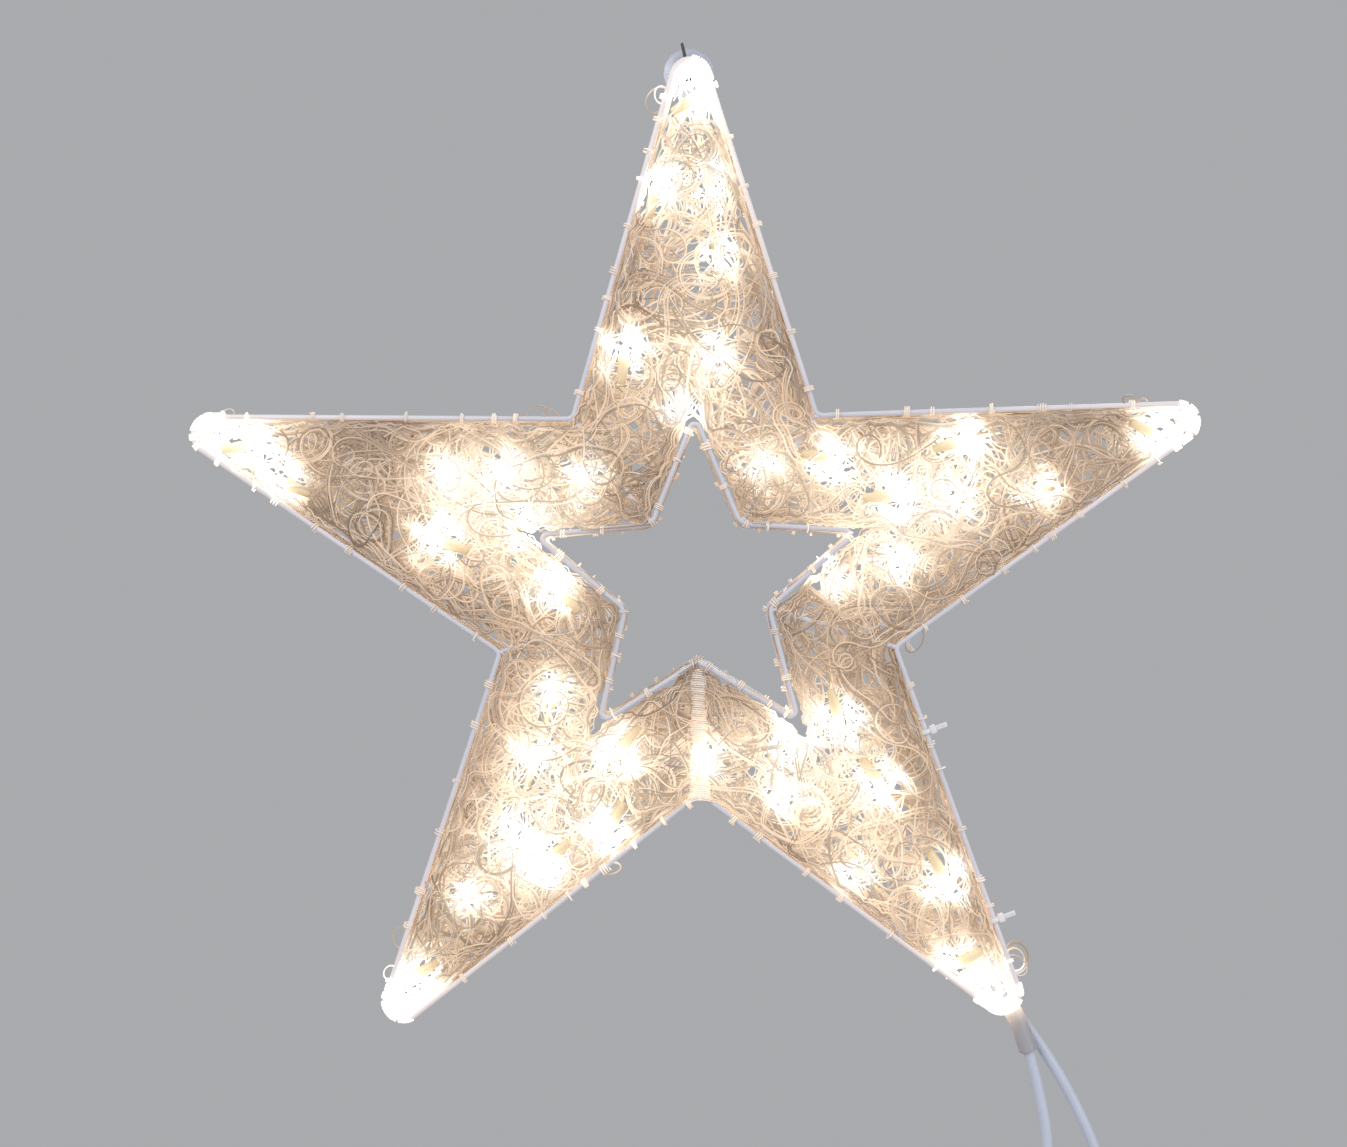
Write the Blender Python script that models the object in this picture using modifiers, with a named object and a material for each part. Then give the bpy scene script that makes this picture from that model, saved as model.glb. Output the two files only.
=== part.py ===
"""Hanging christmas star with lights: two wire stars joined by braces, skinned with nets
of spun thread, with a string of lamps inside, two leads, and a hook on a suction cup.

Metres, Z up. The star faces -Y. The origin is the middle of the cup's flat face, which
presses against the pane behind the star.
"""
import math
import random

import bmesh
import bpy
from mathutils import Matrix, Vector

# Wire frame, seen from the front
arm_count = 5
corner_reach = 0.283        # centre to where the straight sides of an arm would meet
tip_bend = 0.009
notch_reach = 0.103
notch_bend = 0.004
hole_corner_reach = 0.084
hole_corner_bend = 0.0025
hole_notch_reach = 0.0375
hole_notch_bend = 0.0075
frame_depth = 0.040         # front wire to back wire, at their middles
wire_radius = 0.00125
brace_bend = 0.003
spacer_inset = 0.060        # from an arm's tip to the rod that joins its front and back wire
bend_steps = 5
small_bend_steps = 2
hole_notch_steps = 4
outline_wire_round_steps = 2
hole_wire_round_steps = 1

# Nets of spun thread
net_thickness = 0.0012
front_gap_pitch = 0.0215
back_gap_pitch = 0.0275
gap_length = 0.0118
gap_width = 0.0074
gap_corners = 5
strand_width = 0.0022
pitch_jitter_share = 0.16
corner_jitter_share = 0.2   # of the angle from corner to corner
lowest_gap_size_share = 0.7
least_corner_share = 0.2    # limits how far a sharp corner moves when an outline is offset
edge_gap_count = 7          # in an edge band, along each side of its arm
edge_gap_shares = (0.06, 0.95)  # where they start and end, from tip to notch
edge_border = 0.0025        # left along the band's front and back, beside half a strand
edge_strand_width = 0.003

# Lamps and their wire, in each arm
lamp_radius = 0.003
lamp_foot_radius = 0.0021
lens_radius = 0.0024
holder_length = 0.014
lens_length = 0.0055
lens_shoulder_shares = (0.8, 0.7)       # of the lens, across and along
lamp_steps = 6
lamp_wire_radius = 0.0008
lamp_sink = 0.0009          # how far the wire is set into the back of each holder
chain_entry_share = 0.48    # where the wire passes through a brace, from its inner end
chain_points_per_step = 2
chain_stub = 0.004          # straight run at each end of an arm's wire

# Suction cup, hook and the point the star hangs from
cup_radius = 0.013
cup_edge = 0.0008
cup_height = 0.0055
neck_radius = 0.003
neck_length = 0.003
head_radius = 0.0045
head_length = 0.003
cup_bell_shares = [(0.72, 0.42), (0.42, 0.86)]      # of the cup's radius and height
head_crown_shares = (0.6, 0.6)          # where the head's side ends and its flat begins
cup_steps = 24
hook_wire_radius = 0.001
hook_drop = 0.0075          # neck axis to the middle of the wire that carries the star
hook_reach = 0.0176         # pane to the middle of the upturned end
hook_end_height = 0.0115    # top of the upturned end above the neck axis
hook_end_lean = 0.0035
hook_bend = 0.0026
hook_bend_steps = 4
eye_start_angle = math.radians(-52)
eye_end_angle = math.radians(236)
eye_steps = 14
# From the eye down to the run forward: across, down and forward, as shares of the eye's
# radius, the drop and the wire's radius
hook_tail_shares = [(-0.12, 0.74, 0), (0, 0.95, 0.7), (0, 1, 2.5)]
tail_steps = 3
star_line = 0.014           # pane to the middle of the star's back wire
hook_window = 0.0085        # depth of edge net left off at the tip, where the hook stands
hook_window_width = 0.008
hook_window_drop = 0.0088

# Cable ties on the frame
tie_thickness = 0.0011
tie_width = 0.0024
tie_head = 0.0042
tie_head_height = 0.003
tie_tail = 0.007
tie_tail_thickness = 0.0009
tie_steps = 12
lower_tie_inset = 0.040     # from the lower right tip
upper_tie_share = 0.76      # of the way from that tip to the notch
notch_tie_offset = 0.008    # from the right-hand notch

# Leads, their joint inside the lower right tip, and what is on them
lead_radius = 0.00275
lead_spread = 0.0078        # one lead in front of the other, middle to middle
joint_width = 0.0095
joint_depth = 0.0150
joint_length = 0.024
joint_inset = 0.0128        # from the tip's outermost wire to the joint's outer face
joint_rounding = 0.0015
tube_spacing = 0.011        # between the points of a lead's tube
fine_steps = 24
sleeve_radius = 0.0046
sleeve_start = 0.0150       # along the lead, from the joint
sleeve_length = 0.025
lead_window = 0.0085
coil_radius = 0.033         # at the middle of its turns
coil_turns = 6.25
coil_pitch = 0.0062
coil_points_per_turn = 24
coil_tie_thickness = 0.0009
coil_tie_width = 0.009
plug_radius = 0.0072
plug_length = 0.030
relief_length = 0.022
relief_radius = 0.0040
relief_straight_share = 0.25    # of the strain relief's length, before it widens
relief_foot_share = 0.75        # of the body's radius, where the relief meets it
shoulder_share = 0.15           # of the body's length
rib_count = 2
rib_run_share = 0.5             # of the body's length that the ribs take
groove_radius_share = 0.9       # of the body's radius
groove_place_shares = [(0.4, False), (0.5, True), (0.9, True), (1.0, False)]
collar_radius = 0.0060
collar_length = 0.009
recess_depth = 0.0120
connector_steps = 12
pin_radius = 0.0009
pin_spread = 0.0046
pin_inset = 0.0009          # from the collar's mouth up to the pins' ends
pin_steps = 8
cap_wall = 0.0013
cap_grip = 0.0006
cap_grip_share = 0.5        # of the cap's height that the raised grip takes

seat_gap = 0.0003
overrun = 0.004             # how far a cutter runs past what it cuts
weld_distance = 0.00001

# Points of the leads' free stretches, world X, Y and Z, top to bottom
supply_route = [
    (0.1459, -0.0379, -0.4671), (0.1504, -0.0379, -0.4733), (0.1552, -0.0379, -0.4805),
    (0.1593, -0.0379, -0.4890), (0.1630, -0.0379, -0.5000), (0.1664, -0.0379, -0.5130),
    (0.1694, -0.0379, -0.5270), (0.1716, -0.0379, -0.5400), (0.1724, -0.0379, -0.5520),
    (0.1710, -0.0379, -0.5630), (0.1670, -0.0379, -0.5730), (0.1612, -0.0379, -0.5815),
    (0.1557, -0.0379, -0.5872), (0.1511, -0.0379, -0.5918)]
tail_route = [
    (0.1511, -0.0441, -0.6522), (0.1555, -0.0441, -0.6566), (0.1609, -0.0441, -0.6626),
    (0.1660, -0.0441, -0.6700), (0.1697, -0.0441, -0.6785), (0.1714, -0.0441, -0.6880),
    (0.1717, -0.0441, -0.6985)]
link_route = [
    (0.1459, -0.0301, -0.4671), (0.1504, -0.0301, -0.4733), (0.1556, -0.0301, -0.4802),
    (0.1620, -0.0301, -0.4885), (0.1695, -0.0301, -0.4990), (0.1775, -0.0301, -0.5115),
    (0.1855, -0.0301, -0.5260), (0.1930, -0.0301, -0.5420), (0.1992, -0.0301, -0.5580),
    (0.2042, -0.0301, -0.5750), (0.2078, -0.0301, -0.5930), (0.2100, -0.0301, -0.6120),
    (0.2110, -0.0301, -0.6320), (0.2112, -0.0301, -0.6520), (0.2112, -0.0301, -0.6700),
    (0.2112, -0.0301, -0.6860)]
coil_start_angle = math.radians(135)
coil_tie_angle = math.radians(95)

# Lamps of each arm in the order of the wire, as shares of the reach: along the arm, and
# across it to the right. Those before the highest lie in front, the rest at the back.
lamp_place_shares = [
    [(0.380, -0.125), (0.670, -0.070), (0.845, -0.011),
     (0.745, 0.030), (0.610, 0.045), (0.445, 0.057), (0.352, -0.025), (0.235, 0.092)],
    [(0.270, -0.148), (0.350, -0.045), (0.495, -0.092), (0.830, -0.010),
     (0.670, 0.036), (0.520, 0.000), (0.385, 0.070), (0.268, 0.055)],
    [(0.310, -0.070), (0.440, -0.050), (0.640, -0.045), (0.810, 0.006),
     (0.610, 0.072), (0.420, 0.112), (0.352, 0.020), (0.285, 0.140)],
    [(0.285, -0.058), (0.410, -0.118), (0.520, -0.070), (0.825, 0.000),
     (0.715, 0.012), (0.580, 0.010), (0.450, 0.050), (0.335, 0.088)],
    [(0.205, -0.092), (0.425, -0.060), (0.720, -0.045), (0.845, -0.008),
     (0.515, 0.050), (0.420, 0.105), (0.350, 0.014), (0.270, 0.098)]]

arm_turn = 2 * math.pi / arm_count
half_turn = arm_turn / 2
front_line = star_line + frame_depth
star_pivot = Vector((0, -star_line, -hook_drop + hook_wire_radius + seat_gap + wire_radius))
hook_pivot = Vector((0, -(cup_height + neck_length / 2), 0))


def clear_scene():
    for thing in list(bpy.data.objects):
        bpy.data.objects.remove(thing, do_unlink=True)


def collection(name):
    group = bpy.data.collections.new(name)
    bpy.context.scene.collection.children.link(group)
    return group


def material(name, colour, roughness, metallic=0.0, transmission=0.0, glow=0.0):
    made = bpy.data.materials.new(name)
    made.use_nodes = True
    shader = made.node_tree.nodes["Principled BSDF"]
    shader.inputs["Base Color"].default_value = (*colour, 1)
    shader.inputs["Roughness"].default_value = roughness
    shader.inputs["Metallic"].default_value = metallic
    shader.inputs["Transmission Weight"].default_value = transmission
    shader.inputs["Emission Color"].default_value = (*colour, 1)
    shader.inputs["Emission Strength"].default_value = glow
    made.diffuse_color = (*colour, 1)
    return made


def add(name, data, finish=None, place=(0, 0, 0), turn=(0, 0, 0), parent=None):
    """Put an object at a world place, kept there under its parent empty."""
    thing = bpy.data.objects.new(name, data)
    pieces.objects.link(thing)
    start = parent.location if parent else Vector((0, 0, 0))
    thing.parent = parent
    thing.location = Vector(place) - start
    thing.rotation_euler = turn
    if finish:
        data.materials.append(finish)
    return thing


def empty(name, place):
    thing = bpy.data.objects.new(name, None)
    thing.location = place
    pieces.objects.link(thing)
    return thing


def hide_cutter(thing):
    for group in list(thing.users_collection):
        group.objects.unlink(thing)
    cutters.objects.link(thing)
    thing.hide_render = True
    thing.display_type = 'WIRE'
    return thing


def shade(mesh, angle=math.radians(40)):
    mesh.shade_smooth()
    mesh.set_sharp_from_angle(angle=angle)


def bend_arc(before, corner, after, radius, steps):
    """Points of the round that joins two straight runs at a corner."""
    before, corner, after = Vector(before), Vector(corner), Vector(after)
    into = (corner - before).normalized()
    out = (after - corner).normalized()
    half = into.angle(out) / 2
    setback = radius * math.tan(half)
    middle = corner + (out - into).normalized() * radius / math.cos(half)
    start = corner - into * setback - middle
    sweep = into.angle_signed(out)
    return [middle + Matrix.Rotation(-sweep * step / steps, 2) @ start
            for step in range(steps + 1)]


def turned_point(point, turn):
    """A point of the star's plane, turned clockwise about its centre."""
    return Vector((point[0] * math.cos(turn) + point[1] * math.sin(turn),
                   point[1] * math.cos(turn) - point[0] * math.sin(turn)))


def arm_side(reach, bend, low_reach, low_bend, steps, low_steps):
    """One star point from notch to notch, clockwise, in the plane of the star."""
    tip = Vector((0, reach))
    notch = turned_point((0, low_reach), half_turn)
    next_tip = turned_point(tip, arm_turn)
    left_notch = Vector((-notch.x, notch.y))
    tip_round = bend_arc(left_notch, tip, notch, bend, steps)
    notch_round = bend_arc(tip, notch, next_tip, low_bend, low_steps)
    right = notch_round[:low_steps // 2 + 1]
    left = [Vector((-point.x, point.y)) for point in reversed(right)]
    return left + tip_round + right


def whole_loop(side):
    return [turned_point(point, arm_turn * arm)
            for arm in range(arm_count) for point in side[:-1]]


def offset_outline(points, distance):
    """A closed clockwise outline moved inwards by a distance."""
    count = len(points)
    moved = []
    for index, point in enumerate(points):
        into = (point - points[index - 1]).normalized()
        out = (points[(index + 1) % count] - point).normalized()
        inwards = Vector((into.y, -into.x)) + Vector((out.y, -out.x))
        inwards.normalize()
        spread = max(inwards.dot(Vector((into.y, -into.x))), least_corner_share)
        moved.append(point + inwards * distance / spread)
    return moved


def band_outline(points, thickness, trim):
    """A thin closed band along an open run of points, its ends cut short."""
    run = list(points)
    run[0] = run[0] + (run[1] - run[0]).normalized() * trim
    run[-1] = run[-1] + (run[-2] - run[-1]).normalized() * trim
    outer, inner = [], []
    for index, point in enumerate(run):
        before = run[max(index - 1, 0)]
        after = run[min(index + 1, len(run) - 1)]
        into = (point - before).normalized() if index else (after - point).normalized()
        out = (after - point).normalized() if index < len(run) - 1 else into
        side = Vector((-into.y, into.x)) + Vector((-out.y, out.x))
        side.normalize()
        side *= thickness / 2 / side.dot(Vector((-into.y, into.x)))
        outer.append(point + side)
        inner.append(point - side)
    return outer + list(reversed(inner))


def flat_curve(name, outlines, thickness):
    curve = bpy.data.curves.new(name, 'CURVE')
    curve.dimensions = '2D'
    curve.fill_mode = 'BOTH'
    curve.extrude = thickness / 2
    for outline in outlines:
        spline = curve.splines.new('POLY')
        spline.points.add(len(outline) - 1)
        for target, point in zip(spline.points, outline):
            target.co = (point[0], point[1], 0, 1)
        spline.use_cyclic_u = True
    return curve


def tube_curve(name, points, radius, closed=False, round_steps=2):
    curve = bpy.data.curves.new(name, 'CURVE')
    curve.dimensions = '3D'
    curve.bevel_depth = radius
    curve.bevel_resolution = round_steps
    curve.use_fill_caps = not closed
    spline = curve.splines.new('POLY')
    spline.points.add(len(points) - 1)
    for target, point in zip(spline.points, points):
        target.co = (*point, 1)
    spline.use_cyclic_u = closed
    spline.use_smooth = True
    return curve


def made_solid(thing):
    """Replace a curve object by a mesh object of the same form and name."""
    graph = bpy.context.evaluated_depsgraph_get()
    graph.update()
    mesh = bpy.data.meshes.new_from_object(thing.evaluated_get(graph))
    shape = bmesh.new()
    shape.from_mesh(mesh)
    bmesh.ops.remove_doubles(shape, verts=shape.verts, dist=weld_distance)
    shape.to_mesh(mesh)
    shape.free()
    solid = bpy.data.objects.new(thing.name, mesh)
    pieces.objects.link(solid)
    solid.parent = thing.parent
    solid.matrix_world = thing.matrix_world
    name = thing.name
    bpy.data.objects.remove(thing, do_unlink=True)
    solid.name = name
    return solid


def boolean(thing, other, operation):
    change = thing.modifiers.new(operation.lower(), 'BOOLEAN')
    change.operation = operation
    change.object = other
    change.solver = 'EXACT'
    return change


def turned(name, profile, steps, finish, place, turn=(0, 0, 0), parent=None):
    """A profile of (radius, height) pairs, turned about its own Z."""
    shape = bmesh.new()
    corners = [shape.verts.new((radius, 0, height)) for radius, height in profile]
    for pair in zip(corners, corners[1:]):
        shape.edges.new(pair)
    mesh = bpy.data.meshes.new(name)
    shape.to_mesh(mesh)
    shape.free()
    thing = add(name, mesh, finish, place, turn, parent)
    screw = thing.modifiers.new("turning", 'SCREW')
    screw.steps = steps
    screw.render_steps = steps
    screw.use_merge_vertices = True
    screw.merge_threshold = weld_distance
    screw.use_smooth_shade = True
    return thing


def smooth_run(points, per_step):
    """Points of a smooth curve that passes through every point of a route."""
    route = [Vector(point) for point in points]
    route = [route[0] * 2 - route[1]] + route + [route[-1] * 2 - route[-2]]
    run = []
    for index in range(1, len(route) - 2):
        corners = route[index - 1:index + 3]
        times = [0]
        for before, after in zip(corners, corners[1:]):
            times.append(times[-1] + math.sqrt((after - before).length))
        for step in range(per_step):
            time = times[1] + (times[2] - times[1]) * step / per_step
            blend = corners
            for level in (1, 2, 3):
                low, high = (1, 2) if level == 3 else (0, level)
                blend = [a.lerp(b, (time - times[at + low]) / (times[at + high] - times[at + low]))
                         for at, (a, b) in enumerate(zip(blend, blend[1:]))]
            run.append(blend[0])
    run.append(route[-2])
    return run


def even_run(route, spacing):
    """Points at equal distances along the smooth curve through a route."""
    fine = smooth_run(route, fine_steps)
    count = math.ceil(run_length(fine) / spacing)
    step = run_length(fine) / count
    run, travelled = [fine[0]], 0
    for before, after in zip(fine, fine[1:]):
        travelled += (after - before).length
        if travelled > step * len(run) and len(run) < count:
            run.append(after)
    return run + [fine[-1]]


def run_length(points):
    return sum((after - before).length for before, after in zip(points, points[1:]))


def box(name, size, place, turn=(0, 0, 0), parent=None, finish=None):
    shape = bmesh.new()
    bmesh.ops.create_cube(shape, size=1, matrix=Matrix.Diagonal((*size, 1)))
    mesh = bpy.data.meshes.new(name)
    shape.to_mesh(mesh)
    shape.free()
    return add(name, mesh, finish, place, turn, parent)


def star_place(depth):
    """World place of the star's centre, at a depth in front of the pane."""
    return (0, -depth, star_pivot.z - tip_reach)


def build_frame(star, steel):
    """Front and back outlines and hole edges, braces at the notches, rods near the tips."""
    for side_name, depth in (("front", front_line), ("back", star_line)):
        for kind, side, round_steps in (("outline", outer_side, outline_wire_round_steps),
                                        ("hole", hole_side, hole_wire_round_steps)):
            points = [(point.x, 0, point.y) for point in whole_loop(side)]
            curve = tube_curve(f"{side_name}_{kind}_wire", points, wire_radius, closed=True,
                               round_steps=round_steps)
            add(curve.name, curve, steel, star_place(depth), parent=star)
    deep = frame_depth / 2
    corners = [(brace_low, -deep), (brace_high, -deep), (brace_high, deep), (brace_low, deep)]
    ring = []
    for index, corner in enumerate(corners):
        ring += bend_arc(corners[index - 1], corner, corners[(index + 1) % 4], brace_bend,
                         small_bend_steps)
    for arm in range(arm_count):
        curve = tube_curve(f"notch_brace_{arm + 1}", [(0, p.y, p.x) for p in ring],
                           wire_radius, closed=True, round_steps=hole_wire_round_steps)
        add(curve.name, curve, steel, star_place(front_line - deep),
            (0, arm_turn * arm + half_turn, 0), star)
    for arm in range(arm_count):
        edge = edge_point(spacer_inset, 1)
        inside = edge + Vector((-math.cos(side_angle), -math.sin(side_angle))) * rod_inset
        place = turned_point(inside, arm_turn * arm)
        rod_half = frame_depth / 2 - net_thickness / 2 - 2 * seat_gap
        curve = tube_curve(f"spacer_rod_{arm + 1}", [(0, -rod_half, 0), (0, rod_half, 0)],
                           wire_radius)
        centre = Vector(star_place(front_line - deep))
        add(curve.name, curve, steel, centre + Vector((place.x, 0, place.y)), parent=star)


def edge_point(inset, side):
    """A point of an arm's straight side, at a distance from its tip, right for side 1."""
    along = Vector((0, tip_reach)) - Vector((0, inset))
    across = (corner_reach - along.y) * math.tan(side_angle)
    return Vector((side * across, along.y))


def inside_outline(point, outline, margin):
    inside = False
    count = len(outline)
    for index in range(count):
        a, b = outline[index - 1], outline[index]
        if (a.y > point.y) != (b.y > point.y):
            if point.x < (b.x - a.x) * (point.y - a.y) / (b.y - a.y) + a.x:
                inside = not inside
        run = b - a
        share = min(max((point - a).dot(run) / max(run.length_squared, weld_distance ** 2), 0), 1)
        if (a + run * share - point).length < margin:
            return False
    return inside


def net_gaps(outline, pitch, seed):
    """Irregular gaps in rows over an outline, none nearer than a strand to its edge."""
    draw = random.Random(seed)
    gaps = []
    row_pitch = pitch * math.sin(math.pi / 3)
    rows = math.ceil(corner_reach / row_pitch)
    columns = math.ceil(notch_reach / pitch)
    stray = pitch * pitch_jitter_share
    for row in range(rows):
        for column in range(-columns, columns + 1):
            centre = Vector((column * pitch + (row % 2) * pitch / 2 + draw.uniform(-stray, stray),
                             row * row_pitch + draw.uniform(-stray, stray)))
            angle = draw.uniform(0, math.pi)
            grow = draw.uniform(lowest_gap_size_share, 1)
            gap = []
            for corner in range(gap_corners):
                jitter = draw.uniform(-corner_jitter_share, corner_jitter_share)
                turn = 2 * math.pi * (corner + jitter) / gap_corners
                spot = Vector((gap_length / 2 * math.cos(turn), gap_width / 2 * math.sin(turn)))
                gap.append(centre + Matrix.Rotation(angle, 2) @ spot * grow)
            if all(inside_outline(point, outline, strand_width) for point in gap):
                gaps.append(gap)
    return gaps


def build_nets(star, thread):
    """A net over each arm's front and back, and bands along its edges between the wires."""
    clearance = wire_radius + seat_gap
    arm_outline = outer_side + [point for point in reversed(hole_side)]
    panel = offset_outline(arm_outline, clearance)
    band_depth = frame_depth - 2 * clearance
    middle = front_line - frame_depth / 2
    made = {}
    for arm in range(arm_count):
        turn = (math.pi / 2, arm_turn * arm, 0)
        for side_name, depth, pitch, seed in (("front", front_line, front_gap_pitch, arm),
                                              ("back", star_line, back_gap_pitch, arm + arm_count)):
            name = f"{side_name}_net_{arm + 1}"
            curve = flat_curve(name, [panel] + net_gaps(panel, pitch, seed), net_thickness)
            made[name] = add(name, curve, thread, star_place(depth), turn, star)
        for kind, side in (("edge", outer_side), ("hole", hole_side)):
            name = f"{kind}_band_{arm + 1}"
            curve = flat_curve(name, [band_outline(side, net_thickness, seat_gap)], band_depth)
            made[name] = add(name, curve, thread, star_place(middle), turn, star)
    return made


def edge_gaps(draw):
    """Three-sided gaps between strands that zigzag over a band: (way, depth) corners."""
    start, end = (arm_run * share / math.cos(side_angle) for share in edge_gap_shares)
    pitch = (end - start) / (edge_gap_count + 1)
    half_depth = frame_depth / 2 - wire_radius - seat_gap - edge_border
    turns = []
    for index in range(edge_gap_count + 2):
        stray = pitch * draw.uniform(-pitch_jitter_share, pitch_jitter_share)
        depth = half_depth if index % 2 else -half_depth
        turns.append(Vector((start + pitch * index + stray, depth)))
    gaps = []
    for index in range(edge_gap_count):
        corners = turns[index:index + 3]
        if index % 2:
            corners.reverse()
        gaps.append(offset_outline(corners, edge_strand_width / 2))
    return gaps


def cut_edge_gaps(star, nets):
    """Open the edge bands along the straight sides of each arm."""
    for arm in range(arm_count):
        draw = random.Random(arm)
        shape = bmesh.new()
        for side in (-1, 1):
            tip = edge_point(0, side)
            down = Vector((side * math.sin(side_angle), -math.cos(side_angle)))
            out = Vector((side * math.cos(side_angle), math.sin(side_angle)))
            for gap in edge_gaps(draw):
                ends = []
                for reach in (-overrun, overrun):
                    spots = [tip + down * along + out * reach for along, depth in gap]
                    ends.append([shape.verts.new((spot.x, spot.y, depth))
                                 for spot, (along, depth) in zip(spots, gap)])
                inner, outer = ends
                shape.faces.new(inner)
                shape.faces.new(outer)
                for index in range(len(gap)):
                    shape.faces.new((inner[index - 1], inner[index], outer[index],
                                     outer[index - 1]))
        bmesh.ops.recalc_face_normals(shape, faces=shape.faces)
        mesh = bpy.data.meshes.new("edge gaps")
        shape.to_mesh(mesh)
        shape.free()
        cutter = add("edge gaps", mesh, None, star_place(front_line - frame_depth / 2),
                     (math.pi / 2, arm_turn * arm, 0), star)
        boolean(nets[f"edge_band_{arm + 1}"], hide_cutter(cutter), 'DIFFERENCE')


def tie_points(arm, inset, side):
    """Place on an arm's side wire, and the way along it, in the plane of the star."""
    spot = edge_point(inset, side)
    along = Vector((-side * math.sin(side_angle), math.cos(side_angle)))
    outwards = Vector((side * math.cos(side_angle), math.sin(side_angle)))
    turn = arm_turn * arm
    return (turned_point(spot, turn), turned_point(along, turn), turned_point(outwards, turn))


def build_ties(star, nylon, nets):
    """Cable ties round the frame's wire, with the nets open where they pass."""
    ring_inner = wire_radius + seat_gap
    ring_outer = ring_inner + tie_thickness
    ties = (("lower", 2, lower_tie_inset, -1, front_line),
            ("upper", 2, arm_run * upper_tie_share, -1, front_line),
            ("notch", 1, arm_run - notch_tie_offset, 1, star_line))
    for name, arm, inset, side, depth in ties:
        spot, along, outwards = tie_points(arm, inset, side)
        centre = Vector(star_place(depth)) + Vector((spot.x, 0, spot.y))
        axis = Vector((along.x, 0, along.y))
        out = Vector((outwards.x, 0, outwards.y))
        frame = Matrix((out, axis.cross(out), axis)).transposed()
        turn = frame.to_euler()
        half = tie_width / 2
        profile = [(ring_inner, half), (ring_outer, half), (ring_outer, -half),
                   (ring_inner, -half), (ring_inner, half)]
        ring = turned(f"{name}_cable_tie", profile, tie_steps, nylon, centre, turn, star)
        head_place = centre + out * (ring_outer + tie_head_height / 2 - tie_thickness / 2)
        head = box("tie head", (tie_head_height, tie_head, tie_head), head_place, turn, star)
        tail_place = head_place + out * (tie_head_height / 2 + tie_tail / 2 - tie_thickness)
        tail = box("tie tail", (tie_tail, tie_width, tie_tail_thickness), tail_place, turn, star)
        for part in (head, tail):
            boolean(ring, hide_cutter(part), 'UNION')
        clear = ring_outer + seat_gap
        reach = tie_width + 2 * seat_gap
        window = turned("tie window", [(0, reach / 2), (clear, reach / 2), (clear, -reach / 2),
                                       (0, -reach / 2)], tie_steps, None, centre, turn, star)
        hide_cutter(window)
        side_name = "front" if depth == front_line else "back"
        for net in (f"{side_name}_net_{arm + 1}", f"edge_band_{arm + 1}"):
            boolean(nets[net], window, 'DIFFERENCE')


def build_lamps(star, plastic):
    """A run of wire in each arm with its lamps, sunk a little into their holders."""
    front_lamp_line = front_line - (net_thickness / 2 + seat_gap + lamp_radius)
    back_lamp_line = star_line + (net_thickness / 2 + seat_gap + lamp_radius)
    wire_behind = lamp_radius + lamp_wire_radius - lamp_sink
    middle = front_line - frame_depth / 2
    centre = Vector(star_place(0))
    for arm, places in enumerate(lamp_place_shares):
        turn = arm_turn * arm
        highest = max(range(len(places)), key=lambda index: places[index][0])
        route, lines = [], []
        entry_reach = brace_low + (brace_high - brace_low) * chain_entry_share
        entry = turned_point((0, entry_reach), -half_turn)
        square = Vector((math.cos(half_turn), math.sin(half_turn)))
        ends = [entry + square * seat_gap / 2, entry + square * chain_stub]
        route += [(spot, middle) for spot in ends]
        for index, (along, across) in enumerate(places):
            front = index <= highest
            depth = front_lamp_line - wire_behind if front else back_lamp_line + wire_behind
            route.append((Vector((across, along)) * corner_reach, depth))
        route += [(Vector((-spot.x, spot.y)), middle) for spot in reversed(ends)]
        points = []
        for spot, depth in route:
            flat = turned_point(spot, turn)
            points.append(Vector((flat.x, -depth, flat.y)) + centre)
        name = f"lamp_chain_{arm + 1}"
        run = smooth_run(points, chain_points_per_step)
        wire = tube_curve(name, [point - star_pivot for point in run], lamp_wire_radius,
                          round_steps=0)
        chain = made_solid(add(name, wire, plastic, star_pivot, parent=star))
        for index in range(len(places)):
            knot = (index + 2) * chain_points_per_step
            way = run[knot + 1] - run[knot - 1]
            way.y = 0
            way.normalize()
            front = index <= highest
            lamp_line = front_lamp_line if front else back_lamp_line
            middle_point = Vector((run[knot].x, -lamp_line, run[knot].z))
            foot = middle_point - way * holder_length / 2
            lamp = turned("lamp", lamp_profile(), lamp_steps, plastic, foot,
                          way.to_track_quat('Z', 'Y').to_euler(), star)
            boolean(chain, hide_cutter(lamp), 'UNION')


def cut_hook_window(star, nets):
    """Leave the thread off round the hook, at the back of the top tip."""
    depth = hook_window + overrun
    place = Vector(star_place(star_line - overrun + depth / 2))
    place.z += tip_reach + wire_radius - hook_window_drop / 2
    window = box("hook window", (hook_window_width, depth, hook_window_drop), place, parent=star)
    hide_cutter(window)
    for name in ("edge_band_1", "back_net_1"):
        boolean(nets[name], window, 'DIFFERENCE')


def lamp_profile():
    """Outer side of a lamp from the top of its lens down to its foot."""
    across, along = lens_shoulder_shares
    return [(0, holder_length + lens_length),
            (lens_radius * across, holder_length + lens_length * along),
            (lens_radius, holder_length),
            (lamp_radius, holder_length),
            (lamp_foot_radius, 0),
            (0, 0)]


def build_cup(clear_plastic):
    """Bell, neck and head, turned about the line that stands square on the pane."""
    neck_end = -(cup_height + neck_length)
    head_end = neck_end - head_length
    crown_across, side_run = head_crown_shares
    profile = [(0, 0), (cup_radius, 0), (cup_radius, -cup_edge)]
    profile += [(cup_radius * across, -cup_height * down) for across, down in cup_bell_shares]
    profile += [(neck_radius, -cup_height), (neck_radius, neck_end), (head_radius, neck_end),
                (head_radius, neck_end - head_length * side_run),
                (head_radius * crown_across, head_end), (0, head_end)]
    turned("suction_cup", profile, cup_steps, clear_plastic, (0, 0, 0), (-math.pi / 2, 0, 0))


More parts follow.
